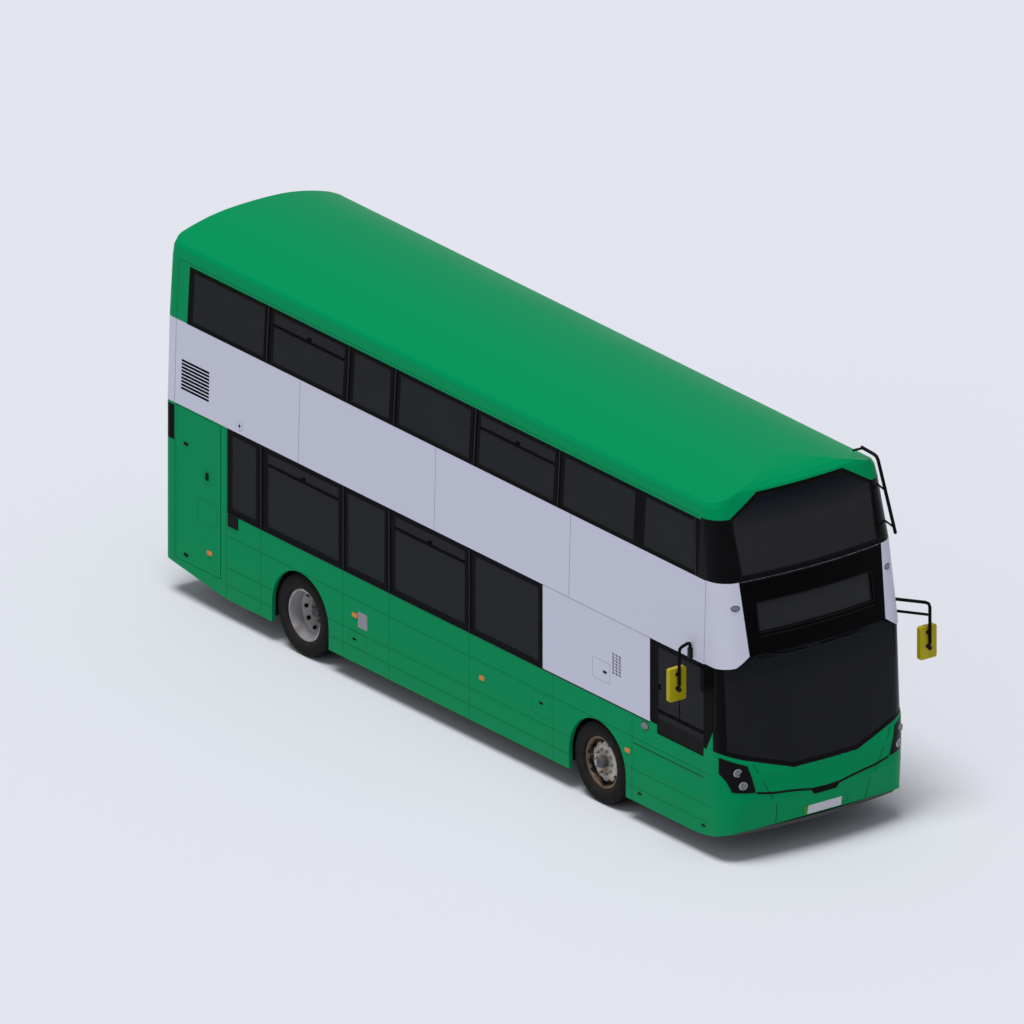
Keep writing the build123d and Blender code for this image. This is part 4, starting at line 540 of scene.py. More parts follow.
# ---- destination sign
# A blank light-emitting-diode sign behind a flat pane, in a rubber surround let into the
# black panel. Rows of unlit diodes show as a fine grey grid, drawn twice as coarse as real.
sign_half = 0.79
sign_heights = (2.70, 3.03)
sign_gap = 0.006
diode_pitch = 0.020  # real diodes stand 10 mm apart

sign_pane, shader, add, spot = new_material("unlit_diode_sign", Roughness=0.2, Specular_IOR_Level=0.14, IOR=1.5)
cell = add("Mapping", Vector=spot, Scale=(1 / diode_pitch, 0.0, 1 / diode_pitch))
dots = add("TexVoronoi", Vector=cell, Scale=1.0, Randomness=0.0)
diode = add("Math", dots, 0.3, operation="LESS_THAN")
feed(shader, Base_Color=add("Mix", Factor=diode, A="#1d1e21", B="#2b2b2d", data_type="RGBA"))
dress(sign_pane, "destination_display")

lip = bmesh.new()
add_bead(lip, "front", rounded((-sign_half - sign_gap, sign_half + sign_gap),
                               (sign_heights[0] - sign_gap, sign_heights[1] + sign_gap), 0.02),
         0.016, proud=0.004, closed=True, step=0.2)
for height, half in ((sign_heights[0] - 0.05, 0.80), (3.285, 0.95)):
    add_bead(lip, "front", [(-half, height), (half, height)], 0.015, proud=0.008)
place("sign_surround", lip, rubber)

# ---- screen borders
# The laminated screens are bonded over a black ceramic edge; outside it runs a rubber
# filler that closes the gap to the body.
upper_ring = [(0.944, 3.352), (0.966, 3.985), (0.575, 4.192), (-0.575, 4.192), (-0.966, 3.985), (-0.944, 3.352)]
sill = [(-1.19, 1.305), (-0.44, 1.062), (0.44, 1.062), (1.19, 1.305)]

fillers = bmesh.new()
add_bead(fillers, "front", upper_ring, 0.034, proud=0.003, closed=True, step=0.12)
add_bead(fillers, "front", sill, 0.016, proud=0.004, step=0.06)
place("screen_fillers", fillers, rubber)

# ---- front lower panel details
# A black swage line joins the lamp clusters and dips round a small air intake with a
# hexagonal mesh; below it are the blank number plate and the towing-eye cover.
swage = [(0.915, 0.840), (0.70, 0.800), (0.52, 0.785), (0.36, 0.765), (0.195, 0.735), (0.0, 0.728)]
intake = [(-0.215, 0.742), (-0.155, 0.666), (0.155, 0.666), (0.215, 0.742), (0.0, 0.732)]
mesh_pitch, mesh_row, mesh_radius = 0.018, 0.0155, 0.0085
plate_height = 0.475
plate_half = (0.26, 0.0555)


def oval(a, b, half_a, half_b, steps=20, start=0.0):
    """Ellipse, or polygon of few steps, round a spot on a face."""
    angles = (start + 2 * math.pi * i / steps for i in range(steps))
    return [(a + half_a * math.cos(angle), b + half_b * math.sin(angle)) for angle in angles]


fittings = bmesh.new()
add_bead(fittings, "front", [(-x, z) for x, z in swage] + swage[-2::-1], 0.030, proud=0.004, step=0.05)
# The black plate under the hexagonal mesh fills the intake's opening: painted shade behind the mesh.
add_plate(fittings, "front", intake, 0.003)
for row in range(4):
    for column in range(-11, 12):
        x, z = column * mesh_pitch + row % 2 * mesh_pitch / 2, 0.677 + row * mesh_row
        if abs(x) < 0.15 + (z - 0.672) * 0.75:
            hexagon = oval(x, z, mesh_radius, mesh_radius, 6, math.pi / 6)
            add_bead(fittings, "front", hexagon, 0.0035, proud=0.008, closed=True)
add_bead(fittings, "front", rounded((0.27, 0.35), (0.45, 0.53), 0.012), 0.003, proud=0.001, closed=True)
place("swage_line_and_intake", fittings, rubber)

plate_white, shader, add, spot = new_material("reflective_acrylic_plate", Roughness=0.3, Specular_IOR_Level=0.2)
across = add("SeparateXYZ", spot).outputs["X"]
flash = add("Math", across, -plate_half[0] + 0.05, operation="LESS_THAN")
tone = add("Mix", Factor=add("TexVoronoi", Vector=spot, Scale=900.0), A="#b9b9c4", B="#cfcfd8", data_type="RGBA")
feed(shader, Base_Color=add("Mix", Factor=flash, A=tone, B="#2f8a12", data_type="RGBA"))
plates = bmesh.new()
add_plate(plates, "front", rounded((-plate_half[0], plate_half[0]),
                                   (plate_height - plate_half[1], plate_height + plate_half[1]), 0.008), 0.006)
place("front_number_plate", plates, plate_white)

# ---- lamps
# Round projector headlamps in chromed rings, oval marker lamps with clear caps, amber
# reflectors along the skirt, and stacked red, amber and white lamps at the rear corners.
headlamp_places = [(1.128, 1.110), (1.078, 0.955)]
headlamp_radius = 0.050
engine_door_backs = (9.515, 10.35)  # ends of the offside engine door


def circle(centre, across, upward, radius, steps):
    """Points round a centre, in the plane of two directions."""
    return [centre + (across * math.cos(a) + upward * math.sin(a)) * radius
            for a in (2 * math.pi * i / steps for i in range(steps))]


def add_turned(shape, centre, axis, profile, steps=28):
    """Turned form: profile gives distance along the axis and radius, from one end to the other."""
    axis = Vector(axis).normalized()
    across = axis.orthogonal().normalized()
    rings = []
    for reach, radius in profile:
        spot = Vector(centre) + axis * reach
        ring = circle(spot, across, axis.cross(across), radius, steps) if radius else [spot]
        rings.append([shape.verts.new(point) for point in ring])
    for low, high in zip(rings, rings[1:]):
        for i in range(steps):
            j = (i + 1) % steps
            corners = [low[i % len(low)], low[j % len(low)], high[j % len(high)], high[i % len(high)]]
            shape.faces.new(list(dict.fromkeys(corners)))


def add_dome(shape, face, centre, half, proud):
    """Low cap with rounded edges on an oval foot."""
    rings = []
    for shrink, lift in ((1.0, -0.002), (1.0, proud * 0.45), (0.93, proud * 0.75), (0.78, proud * 0.93),
                         (0.45, proud)):
        spots = [on_skin(face, a, b) for a, b in oval(*centre, half[0] * shrink, half[1] * shrink)]
        rings.append([spot + normal * lift for spot, normal in spots])
    add_bar(shape, rings)


def lens(name, dark, light, fluting):
    """Moulded polycarbonate or acrylic lens: fluted optics under a smooth glossy face."""
    return two_tone(name, ("Voronoi", fluting, 0.15), light, dark, 0.12, 0.4, relief=(0.25, 0.002), IOR=1.58)


def carrier(face, back):
    """Body that the panel at this place belongs to."""
    hinged = face == "offside" and engine_door_backs[0] < back < engine_door_backs[1]
    return "side_engine_door" if hinged else "body"


clear_lens = lens("clear_polycarbonate_lens", "#3c3d40", "#8d8f94", 60.0)
smoked_lens = lens("grey_marker_lens", "#54545c", "#8e8e98", 60.0)
amber_lens = lens("amber_acrylic_lens", "#b35a00", "#f08c00", 70.0)
chrome = two_tone("chromed_plastic", ("Noise", 30.0, 4.0), "#8f9093", "#c9cacd", (0.12, 0.3), Metallic=1.0)

rings, bowls, markers, marker_rims = (bmesh.new() for _ in range(4))
for side in (-1, 1):
    for x, z in headlamp_places:
        facing = (side * 0.36, -1.0, -0.04)
        spot = on_skin("front", side * x, z)[0]
        add_turned(rings, spot, facing, [
            (-0.004, 0), (-0.004, headlamp_radius), (0.006, headlamp_radius), (0.010, headlamp_radius - 0.004),
            (0.010, headlamp_radius - 0.010), (0.003, headlamp_radius - 0.013), (0.003, 0)])
        add_turned(bowls, spot, facing, [
            (0.001, 0), (0.001, headlamp_radius - 0.0125), (0.006, headlamp_radius - 0.014), (0.011, 0.024),
            (0.0125, 0.011), (0.013, 0)])
for face, a, b, half, proud, rim, rim_width in (
    ("front", -1.056, 3.016, (0.040, 0.024), 0.012, 0.007, 0.008),
    ("front", 1.056, 3.016, (0.040, 0.024), 0.012, 0.007, 0.008),
    ("offside", front_y + 1.68, 1.215, (0.062, 0.040), 0.014, 0.006, 0.006),
):
    add_dome(markers, face, (a, b), half, proud)
    add_bead(marker_rims, face, oval(a, b, half[0] + rim, half[1] + 0.006), rim_width, proud=0.003, closed=True)
place("headlamp_rings", rings, chrome)
place("headlamp_lenses", bowls, clear_lens)
place("marker_lamps", markers, smoked_lens)
place("marker_lamp_rims", marker_rims, rubber)

reflectors = {"body": bmesh.new(), "side_engine_door": bmesh.new()}
for face, back, height in (
    ("offside", 2.00, 0.82), ("offside", 4.69, 0.82), ("offside", 7.04, 0.82), ("offside", 9.72, 0.70),
    ("nearside", 4.69, 0.82), ("nearside", 7.04, 0.82), ("nearside", 9.72, 0.70),
):
    add_plate(reflectors[carrier(face, back)], face, panel(back, height, 0.045, 0.025, 0.008), 0.008)
place("amber_side_markers", reflectors["body"], amber_lens)
place("side_engine_door_marker", reflectors["side_engine_door"], amber_lens, "side_engine_door")

# ---- hatches, catches and vents of the sides
# Small service flaps stand in the panels with a hairline gap round them and a black
# catch; the charging device, the heater vent and the filler cap are screwed on.
hairline = 0.0022
catch_half = (0.033, 0.013)
vent_pitch, vent_row, vent_height, vent_slant = 0.060, 0.037, 0.022, 0.026
cap_place = (front_y + 9.17, 2.40)
flaps = [("offside", 9.77, 1.16, 0.175, 0.135), ("offside", 9.77, 1.59, 0.06, 0.09),
         ("offside", 6.99, 0.53, 0.17, 0.09), ("offside", 3.60, 0.85, 0.17, 0.13),
         ("offside", 2.49, 1.62, 0.16, 0.12)]
flaps += [("nearside", back, 0.81, 0.2, 0.13) for back in (4.2, 5.6, 9.9)]
black_plates = [("offside", back, height, *catch_half, 0.005) for back, height in (
    (7.05, 0.53), (3.60, 0.87), (2.42, 1.62), (1.78, 0.37), (0.60, 0.37))]
black_plates += [("nearside", back, 0.90, *catch_half, 0.005) for back in (4.2, 5.6, 9.9)]
black_plates += [("offside", 10.16, height, 0.04, 0.018, 0.007) for height in (1.87, 0.54)]
black_plates += [("offside", 9.77, 1.60, 0.025, 0.045, 0.010), ("offside", 9.29, 1.21, 0.09, 0.07, 0.012)]


outlines = {"body": bmesh.new(), "side_engine_door": bmesh.new()}
catches = {"body": bmesh.new(), "side_engine_door": bmesh.new()}
for face, back, *sizes in flaps:
    add_bead(outlines[carrier(face, back)], face, panel(back, *sizes, 0.02), hairline, closed=True, step=0.3)
for face, back, *sizes, proud in black_plates:
    add_plate(catches[carrier(face, back)], face, panel(back, *sizes, 0.005), proud)
# The heater vent's slots are holes; the thin black plates laid in them are painted shade in the holes.
for row in range(7):
    for column in range(3):
        a, height = front_y + 2.145 + column * vent_pitch, 1.652 + row * vent_row
        add_plate(catches["body"], "offside", [
            (a + vent_slant, height + vent_height), (a, height + vent_height), (a - vent_slant, height), (a, height),
        ], 0.0012, chamfer=0.0004)
place("flap_gaps", outlines["body"], sealant)
place("catches_and_vent_hole_shade", catches["body"], rubber)
place("side_engine_door_flap_gaps", outlines["side_engine_door"], sealant, body="side_engine_door")
place("side_engine_door_catches", catches["side_engine_door"], rubber, body="side_engine_door")

cap, lock, wear_plate = bmesh.new(), bmesh.new(), bmesh.new()
cap_spot, cap_normal = on_skin("offside", *cap_place)
add_turned(cap, cap_spot, cap_normal, [(-0.002, 0), (-0.002, 0.055), (0.003, 0.055), (0.004, 0.047), (0.002, 0.045),
                                       (0.002, 0.015), (0.006, 0.013), (0.007, 0)])
place("filler_cap", cap, enamel("coach_enamel_white", [], WHITE))
add_turned(lock, cap_spot, cap_normal, [(0.005, 0), (0.005, 0.016), (0.009, 0.016), (0.010, 0.013), (0.010, 0)])
add_bead(lock, "offside", oval(*cap_place, 0.058, 0.058), hairline, closed=True)
place("filler_cap_lock", lock, rubber)

steel = two_tone("brushed_stainless_steel", ("Noise", 1.0, 3.0), "#77777c", "#a9a9ae", (0.28, 0.42),
                 stretch=(900.0, 12.0, 900.0), Metallic=1.0)
add_plate(wear_plate, "offside", panel(6.9, 0.79, 0.085, 0.095, 0.012), 0.002)
place("jacking_plate", wear_plate, steel)

# ---- rear face
# The engine lid, the rear window and a blank yellow number plate sit in the rear panel;
# each corner has three round lamps, red, amber and white from the top down.
amber_heights, white_heights = (1.35, 1.51), (1.15, 1.35)

rear_lenses, shader, add, spot = new_material("stacked_rear_lamp_lenses", Roughness=0.14, Specular_IOR_Level=0.4,
                                              IOR=1.49)
flutes = add("TexVoronoi", Vector=spot, Scale=110.0, Randomness=0.15)
tint = lay_fields(add, spot, "#a50b0a", [field((10, 11), amber_heights, "#c8700c"),
                                         field((10, 11), white_heights, "#d4d6da")])
feed(shader,
     Base_Color=add("Mix", Factor=flutes, A=tint, B="#2a0a08", data_type="RGBA"),
     Normal=add("Bump", Height=flutes, Strength=0.25, Distance=0.002))
dress(rear_lenses, "rear_lamps")

rear_seals, rear_catches, plates = bmesh.new(), bmesh.new(), bmesh.new()
add_bead(rear_seals, "rear", rounded((-0.862, 0.862), (3.358, 3.902), 0.06), 0.016, closed=True, step=0.4)
for height in (deck_split, waist):
    add_bead(rear_seals, "rear", [(-1.1, height), (1.1, height)], seam)
for x in (-0.7, 0.7):
    add_plate(rear_catches, "rear", rounded((x - 0.045, x + 0.045), (0.53, 0.57), 0.008), 0.0015, chamfer=0.0007)
add_plate(plates, "rear", rounded((-0.26, 0.26), (1.93, 2.04), 0.008), 0.0015, chamfer=0.0007)
rear_yellow = two_tone("reflective_yellow_acrylic", ("Voronoi", 900.0), "#c79a10", "#dcb32a", 0.3, 0.2)
place("rear_seals", rear_seals, rubber)
place("engine_door_catches", rear_catches, rubber, body="engine_door")
place("rear_number_plate", plates, rear_yellow)

# ---- mirrors, tree guard and wipers
# Bent steel tube, powder-coated black, in foam sleeves; the mirror heads are yellow
# moulded ABS with a silvered glass, and the wiper arms carry rubber blades.
sleeve_bevel = 0.05
glass_inset = 0.018
mirror_backs = (-4.4637, -5.1337)  # rear faces of the offside and the nearside mirror head
wiper_sweeps = ((-0.755, -0.145), (0.065, 0.675))
sleeve_routes = (
    ([(-1.280, -4.470, 2.42), (-1.280, -4.470, 2.50), (-1.490, -4.550, 2.50), (-1.490, -4.550, 2.06)], 0.019),
    ([(1.225, -4.930, 2.557), (1.490, -5.220, 2.54), (1.490, -5.220, 2.06)], 0.019),
    ([(1.225, -4.935, 2.417), (1.470, -5.205, 2.40)], 0.016),
    ([(1.012, -4.590, 4.318), (1.050, -4.830, 4.280), (1.100, -4.900, 3.920), (1.120, -5.075, 3.420)], 0.020),
)


def add_block(shape, low, high, thin, radius, chamfer=0.002):
    """Plate between two corners with rounded corners across its thin axis and broken edges."""
    a_axis, b_axis = [axis for axis in range(3) if axis != thin]
    rings = []
    for reach, inset in ((low[thin], chamfer), (low[thin] + chamfer, 0), (high[thin] - chamfer, 0),
                         (high[thin], chamfer)):
        ring = [list(point) for point in rounded((low[a_axis] + inset, high[a_axis] - inset),
                                                 (low[b_axis] + inset, high[b_axis] - inset), radius)]
        for point in ring:
            point.insert(thin, reach)
        rings.append(ring)
    add_bar(shape, rings)


def add_sleeve(shape, route, radius):
    """Soft sleeve round a bent tube, its corners cut to a short bevel."""
    route = [Vector(point) for point in route]
    soft = route[:1]
    for before, corner, after in zip(route, route[1:], route[2:]):
        back, on = ((end - corner).normalized() * sleeve_bevel for end in (before, after))
        soft += [corner + back, corner + (back + on) * 0.25, corner + on]
    soft.append(route[-1])
    rings = []
    for i, point in enumerate(soft):
        run = (soft[min(i + 1, len(soft) - 1)] - soft[max(i - 1, 0)]).normalized()
        across = run.orthogonal().normalized() if not rings else (across - run * across.dot(run)).normalized()
        rings.append(circle(point, across, run.cross(across), radius, 12))
    add_bar(shape, rings)


powder_coat = two_tone("black_powder_coated_steel", ("Noise", 350.0, 2.0), "#080807", "#141311", 0.5, 0.15,
                       relief=(0.3, 0.0008))
mirror_abs = two_tone("yellow_moulded_abs", ("Noise", 5.0, 4.0), "#a39500", "#bcae08", 0.4, 0.2,
                      relief=(0.15, 0.0006), grain=("Voronoi", 700.0))
foam = two_tone("black_nitrile_foam", ("Voronoi", 500.0), "#0e0d0c", "#050505", 0.85, 0.1, relief=(0.3, 0.0008))
silvered = two_tone("silvered_mirror_glass", ("Noise", 14.0, 4.0), "#b9bec2", "#d3d7da", (0.02, 0.07), Metallic=1.0)
dress(powder_coat, "mirror_arms", "tree_guard", "wipers")
dress(mirror_abs, "mirror_heads")

sleeves, glasses, brackets, blades = (bmesh.new() for _ in range(4))
for route, radius in sleeve_routes:
    add_sleeve(sleeves, route, radius)
low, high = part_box("mirror_heads")
for x_low, x_high, y in ((low.x, low.x + 0.23, mirror_backs[0]), (high.x - 0.23, high.x, mirror_backs[1])):
    for z_low, z_high in ((low.z + 0.11, high.z - glass_inset), (low.z + glass_inset, low.z + 0.10)):
        add_block(glasses, (x_low + glass_inset, y - 0.002, z_low), (x_high - glass_inset, y + 0.0015, z_high), 1, 0.02)
    for height in (low.z + 0.155, high.z - 0.07):
        add_block(brackets, (x_low + 0.08, y - 0.065, height - 0.02), (x_high - 0.08, y - 0.058, height + 0.02), 1,
                  0.008)
for first, last in wiper_sweeps:
    add_block(blades, (first, -5.1485, 2.3655), (last, -5.139, 2.3745), 2, 0.003, 0.001)
    for x in (first + 0.05, (first + last) / 2, last - 0.05):
        add_block(blades, (x - 0.012, -5.1495, 2.360), (x + 0.012, -5.137, 2.380), 0, 0.002, 0.001)
place("foam_sleeves", sleeves, foam)
place("mirror_glasses", glasses, silvered)
place("mirror_head_brackets", brackets, powder_coat)
place("wiper_blades", blades, rubber)

# ---- entrance door
# Two glazed leaves in black frames hang on painted steel shafts; each pane has a rubber
# surround and each leaf a yellow push pad beside its leading edge.
pad_x = (1.2475, 1.2505)
pad_heights = (1.20, 1.42)
pad_half = 0.018
frame_middle = 0.035  # from the pane's edge to the middle of the leaf's frame

grey_paint = two_tone("grey_stove_enamelled_steel", ("Noise", 25.0, 5.0), "#56585c", "#6d6f73", 0.4, 0.3,
                      relief=(0.15, 0.001))
dress(grey_paint, "front_door_shaft", "rear_door_shaft", "seat_frames")
for end in ("front", "rear"):
    leaf = f"{end}_door_leaf"
    low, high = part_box(f"{end}_door_glass")
    surround, pad = bmesh.new(), bmesh.new()
    add_bead(surround, "nearside", rounded((low.y - 0.007, high.y + 0.007), (low.z - 0.007, high.z + 0.007), 0.045),
             0.011, proud=0.0015, closed=True, step=0.5)
    edge = high.y + frame_middle if end == "front" else low.y - frame_middle
    add_block(pad, (pad_x[0], edge - pad_half, pad_heights[0]), (pad_x[1], edge + pad_half, pad_heights[1]), 0,
              0.012, 0.001)
    place(leaf + "_glazing_rubber", surround, rubber, body=leaf)
    place(leaf + "_push_pad", pad, mirror_abs, leaf)

# ---- wheels
# Pressed steel rims in grey wheel enamel with brown patches; a ring of zinc-plated nuts. It darkens
# towards the hub and the nuts' circle; the front rims' near-black band at the well is painted shade.
axles = {"front": -2.73, "rear": 2.76}
axle_height = 0.4785
stud_circle, stud_count = 0.140, 10
cap_circle, cap_count = 0.036, 6  # screws of the hub's cap
valve_place = (0.205, 0.030)  # behind and above the axle
disc_reach = {"front": 1.160, "rear": 0.959}  # outer face of the wheel disc from the centreline
hub_reach = {"front": 1.235, "rear": 1.065}
# The front's near-black stops at 0.765 and 0.86 are painted shade in the rim's well.
enamel_and_shade_stops = {  # outwards from the axle to the rim's edge
    "front": ((0.0, "#3c3e44"), (0.20, "#50535a"), (0.30, "#77726c"), (0.42, "#a39d95"), (0.60, "#c4bdb4"),
              (0.735, "#b9b5b0"), (0.765, "#0d0c0b"), (0.86, "#0d0c0b"), (0.885, "#7d6c5c"), (1.0, "#5c4f43")),
    "rear": ((0.0, "#3c3e44"), (0.20, "#50535a"), (0.30, "#6f675f"), (0.42, "#837b74"), (0.60, "#96938f"),
             (0.78, "#a2a2a4"), (0.92, "#b0b0b3"), (0.97, "#c6c2bd"), (1.0, "#75695c")),
}


def from_axle(add, spot, axle_y):
    """Distance from the axle's line."""
    local = add("VectorMath", spot, (0, axle_y, axle_height), operation="SUBTRACT")
    flat = add("VectorMath", local, (0, 1, 1), operation="MULTIPLY")
    return add("VectorMath", flat, operation="LENGTH")


def wheel_enamel_and_shade(end):
    """Grey enamel set by distance from the axle; the front's near-black band at the rim's well is painted shade."""
    made, shader, add, spot = new_material(f"{end}_wheel_enamel_and_shade", Specular_IOR_Level=0.3, Metallic=0.35)
    cloud = add("TexNoise", Vector=spot, Scale=16.0, Detail=6.0)
    drift = add("Math", cloud, 0.05, from_axle(add, spot, axles[end]), operation="MULTIPLY_ADD")
    ramp = add("ValToRGB", add("MapRange", Value=drift, From_Min=0.0, From_Max=0.34))
    elements = ramp.color_ramp.elements
    while len(elements) < len(enamel_and_shade_stops[end]):
        elements.new(0.5)
    for element, (position, code) in zip(elements, enamel_and_shade_stops[end]):
        element.position, element.color = position, colour(code)
    rust = add("TexNoise", Vector=spot, Scale=4.5, Detail=5.0)
    patch = add("MapRange", Value=rust, From_Min=0.50, From_Max=0.66, To_Max=0.55)
    feed(shader,
         Base_Color=add("Mix", Factor=patch, A=ramp, B="#7b5f45", data_type="RGBA"),
         Roughness=add("MapRange", Value=cloud, To_Min=0.35, To_Max=0.65),
         Normal=add("Bump", Height=cloud, Strength=0.15, Distance=0.002))
    return made


dress(wheel_enamel_and_shade("front"), "nearside_front_rim", "offside_front_rim")
dress(wheel_enamel_and_shade("rear"), "nearside_rear_rims", "offside_rear_rims")
zinc = two_tone("zinc_plated_steel", ("Noise", 120.0, 4.0), "#6a6862", "#94928c", (0.35, 0.6), Metallic=1.0)
nut = [(0, 0), (0, 0.0105), (0.012, 0.0105), (0.014, 0.008), (0.0145, 0)]
washer = [(-0.001, 0), (-0.001, 0.021), (0.003, 0.021), (0.004, 0.018), (0.004, 0)]
cap_screw = [(-0.002, 0), (-0.002, 0.006), (0.001, 0.006), (0.001, 0)]
valve = [(0, 0), (0, 0.005), (0.03, 0.005), (0.031, 0.007), (0.04, 0.007), (0.041, 0)]
for end, axle_y in axles.items():
    studs = oval(axle_y, axle_height, stud_circle, stud_circle, stud_count)
    screws = oval(axle_y, axle_height, cap_circle, cap_circle, cap_count, math.pi / cap_count)
    fasteners = [(studs, disc_reach[end] + 0.023, nut, 10), (studs, disc_reach[end] + 0.0005, washer, 16),
                 (screws, hub_reach[end] - 0.001, cap_screw, 6),
                 ([(axle_y + valve_place[0], axle_height + valve_place[1])], disc_reach[end] - 0.01, valve, 10)]
    for hand, side in (("offside", -1), ("nearside", 1)):
        nuts = bmesh.new()
        for spots, reach, profile, steps in fasteners:
            for y, z in spots:
                add_turned(nuts, (side * reach, y, z), (side, 0, 0), profile, steps)
        body = f"{hand}_front_wheel" if end == "front" else f"{hand}_rear_wheels"
        place(f"{hand}_{end}_wheel_nuts", nuts, zinc, body)

# ---- tyres
# Radial city-bus tyres: four grooves between five ribs, notched shoulders, a kerb rib and
# moulded rings on the sidewall. The rubber is dull with road dust near the bead.
tyre_steps = 240
notch_every = 6
notch_depth = 0.007
tread_radius, groove_radius = 0.4785, 0.4645
tyre_places = {"front": (1.100,), "rear": (1.100, 0.790)}  # from the centreline
half_profile = [  # offset from the tyre's middle and radius, from the bead on
    (0.078, 0.287), (0.080, 0.303), (0.101, 0.309), (0.1225, 0.3165), (0.1270, 0.321), (0.1285, 0.327),
    (0.1320, 0.329), (0.1345, 0.343), (0.1368, 0.360), (0.1373, 0.372), (0.1362, 0.374), (0.1362, 0.377),
    (0.1373, 0.379), (0.1372, 0.392), (0.1364, 0.402), (0.1352, 0.404), (0.1342, 0.416), (0.1352, 0.418),
    (0.1338, 0.424), (0.1300, 0.437), (0.1260, 0.447), (0.1232, 0.4530),
]
shoulder_profile = [(0.1190, 0.4600), (0.1095, 0.4755), (0.1060, 0.4783)]
tread_profile = [(0.0740, tread_radius), (0.0715, groove_radius), (0.0605, groove_radius), (0.0580, tread_radius),
                 (0.0310, tread_radius), (0.0290, groove_radius), (0.0170, groove_radius), (0.0150, tread_radius)]


def tyre_rubber(end):
    """Black rubber: dust by distance from the axle and fine mould lines round the tyre."""
    made, shader, add, spot = new_material(f"{end}_tyre_rubber", Roughness=0.8, Specular_IOR_Level=0.15)
    reach = from_axle(add, spot, axles[end])
    cloud = add("TexNoise", Vector=spot, Scale=12.0, Detail=6.0)
    near = add("MapRange", Value=reach, From_Min=0.29, From_Max=0.40, To_Min=1.0, To_Max=0.25)
    dust = add("Math", near, cloud, operation="MULTIPLY")
    lines = add("Math", add("Math", reach, 1800.0, operation="MULTIPLY"), operation="SINE")
    feed(shader,
         Base_Color=add("Mix", Factor=dust, A="#0e0e10", B="#38332f", data_type="RGBA"),
         Normal=add("Bump", Height=lines, Strength=0.12, Distance=0.001))
    return made


def add_tyre(shape, centre_x, axle_y):
    """One tyre as a closed ring, its shoulder ribs notched at equal steps."""
    rings = []
    for step in range(tyre_steps):
        angle = 2 * math.pi * step / tyre_steps
        cut = notch_depth if step % notch_every == 0 else 0.0
        outer = half_profile + [(x, r - cut) for x, r in shoulder_profile] + tread_profile
        rings.append([(centre_x + x, axle_y + r * math.cos(angle), axle_height + r * math.sin(angle))
                      for x, r in outer + [(-x, r) for x, r in reversed(outer)]])
    add_bar(shape, rings, True)


rubbers = {end: tyre_rubber(end) for end in axles}
for hand, side in (("offside", -1), ("nearside", 1)):
    for end, plural in (("front", ""), ("rear", "s")):
        tyres = bmesh.new()
        for centre_x in tyre_places[end]:
            add_tyre(tyres, side * centre_x, axles[end])
        piece = place(f"{hand}_{end}_radial_tyre{plural}", tyres, rubbers[end],
                      f"{hand}_{end}_wheel{plural}", crease=50)
        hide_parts(f"{hand}_{end}_tyre{plural}")

# ---- underside
# Welded steel rails in black chassis paint, forged and cast axles with oily grime, a
# cast-iron engine in grey, and ribbed polypropylene housings over the wheels.


def underbody(name, dark, light, roughness, grit, metallic=0.0):
    """Painted or bare heavy metal with grime that collects in cloudy patches."""
    return two_tone(name, ("Noise", 7.0, 7.0), dark, light, (roughness, roughness + 0.25), 0.3, relief=(0.25, 0.002),
                    grain=("Noise", grit, 3.0), Metallic=metallic)


dress(underbody("black_chassis_paint", "#131314", "#2b2824", 0.45, 90.0), "chassis_frame")
dress(underbody("grimy_forged_steel", "#1f1e1d", "#3a342d", 0.5, 140.0), "front_axle", "nearside_knuckle",
      "offside_knuckle", "tie_rod", "rear_axle")
dress(underbody("painted_cast_iron", "#3f4143", "#5c5c58", 0.55, 220.0), "engine")
dress(two_tone("ribbed_polypropylene", ("Noise", 9.0, 6.0), "#070707", "#1b1815", 0.75, 0.2, relief=(0.3, 0.006),
               grain=("Wave", 5.0, "X")),
      "wheel_arches")

# ---- engine bay
# Behind the lids: a finned rocker cover bolted to the block, a belt drive on its rear face,
# a pleated air filter with its hose, and an aluminium radiator behind the offside door.
up, rearward, leftward = (0, 0, 1), (0, 1, 0), (1, 0, 0)
filler_place = (0.10, 4.60)
pulleys = ((0.0, 0.62, 0.105), (-0.17, 0.90, 0.075), (0.16, 0.93, 0.060))
belt_angles = (-math.pi / 2, math.pi * 0.8, math.pi / 4)  # where the belt wraps each pulley
belt_section = ((-0.003, 0.027), (-0.003, 0.043), (0.004, 0.045), (0.004, 0.025))
hose_routes = (((4.80, 1.00), (4.80, 1.02), (4.74, 1.38)), ((4.52, 0.58), (4.52, 0.56), (4.50, 0.60)))
fin_pitch = 0.010  # real fins stand 2 mm apart; drawn coarser so that they show

cast_aluminium = underbody("cast_aluminium", "#77787a", "#939393", 0.4, 260.0, metallic=0.6)
low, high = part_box("engine")
cover, belt_drive, belt, filters, hoses, core, tanks = (bmesh.new() for _ in range(7))
add_block(cover, (low.x + 0.14, low.y + 0.10, high.z - 0.002), (high.x - 0.14, high.y - 0.10, high.z + 0.055), 2,
          0.04, 0.010)
for rib in range(9):
    y = low.y + 0.17 + rib * (high.y - low.y - 0.34) / 8
    add_block(cover, (low.x + 0.17, y - 0.008, high.z + 0.050), (high.x - 0.17, y + 0.008, high.z + 0.070), 2,
              0.005, 0.003)
for side in (-1, 1):
    for bolt in range(6):
        add_turned(cover, (side * (high.x - 0.115), low.y + 0.15 + bolt * (high.y - low.y - 0.30) / 5, high.z), up, [
            (-0.002, 0), (-0.002, 0.016), (0.003, 0.016), (0.004, 0.011), (0.014, 0.011), (0.015, 0.009),
            (0.015, 0)], 12)
add_turned(cover, (*filler_place, high.z + 0.053), up, [
    (0, 0), (0, 0.038), (0.020, 0.038), (0.026, 0.033), (0.030, 0.033), (0.034, 0.028), (0.034, 0)], 24)
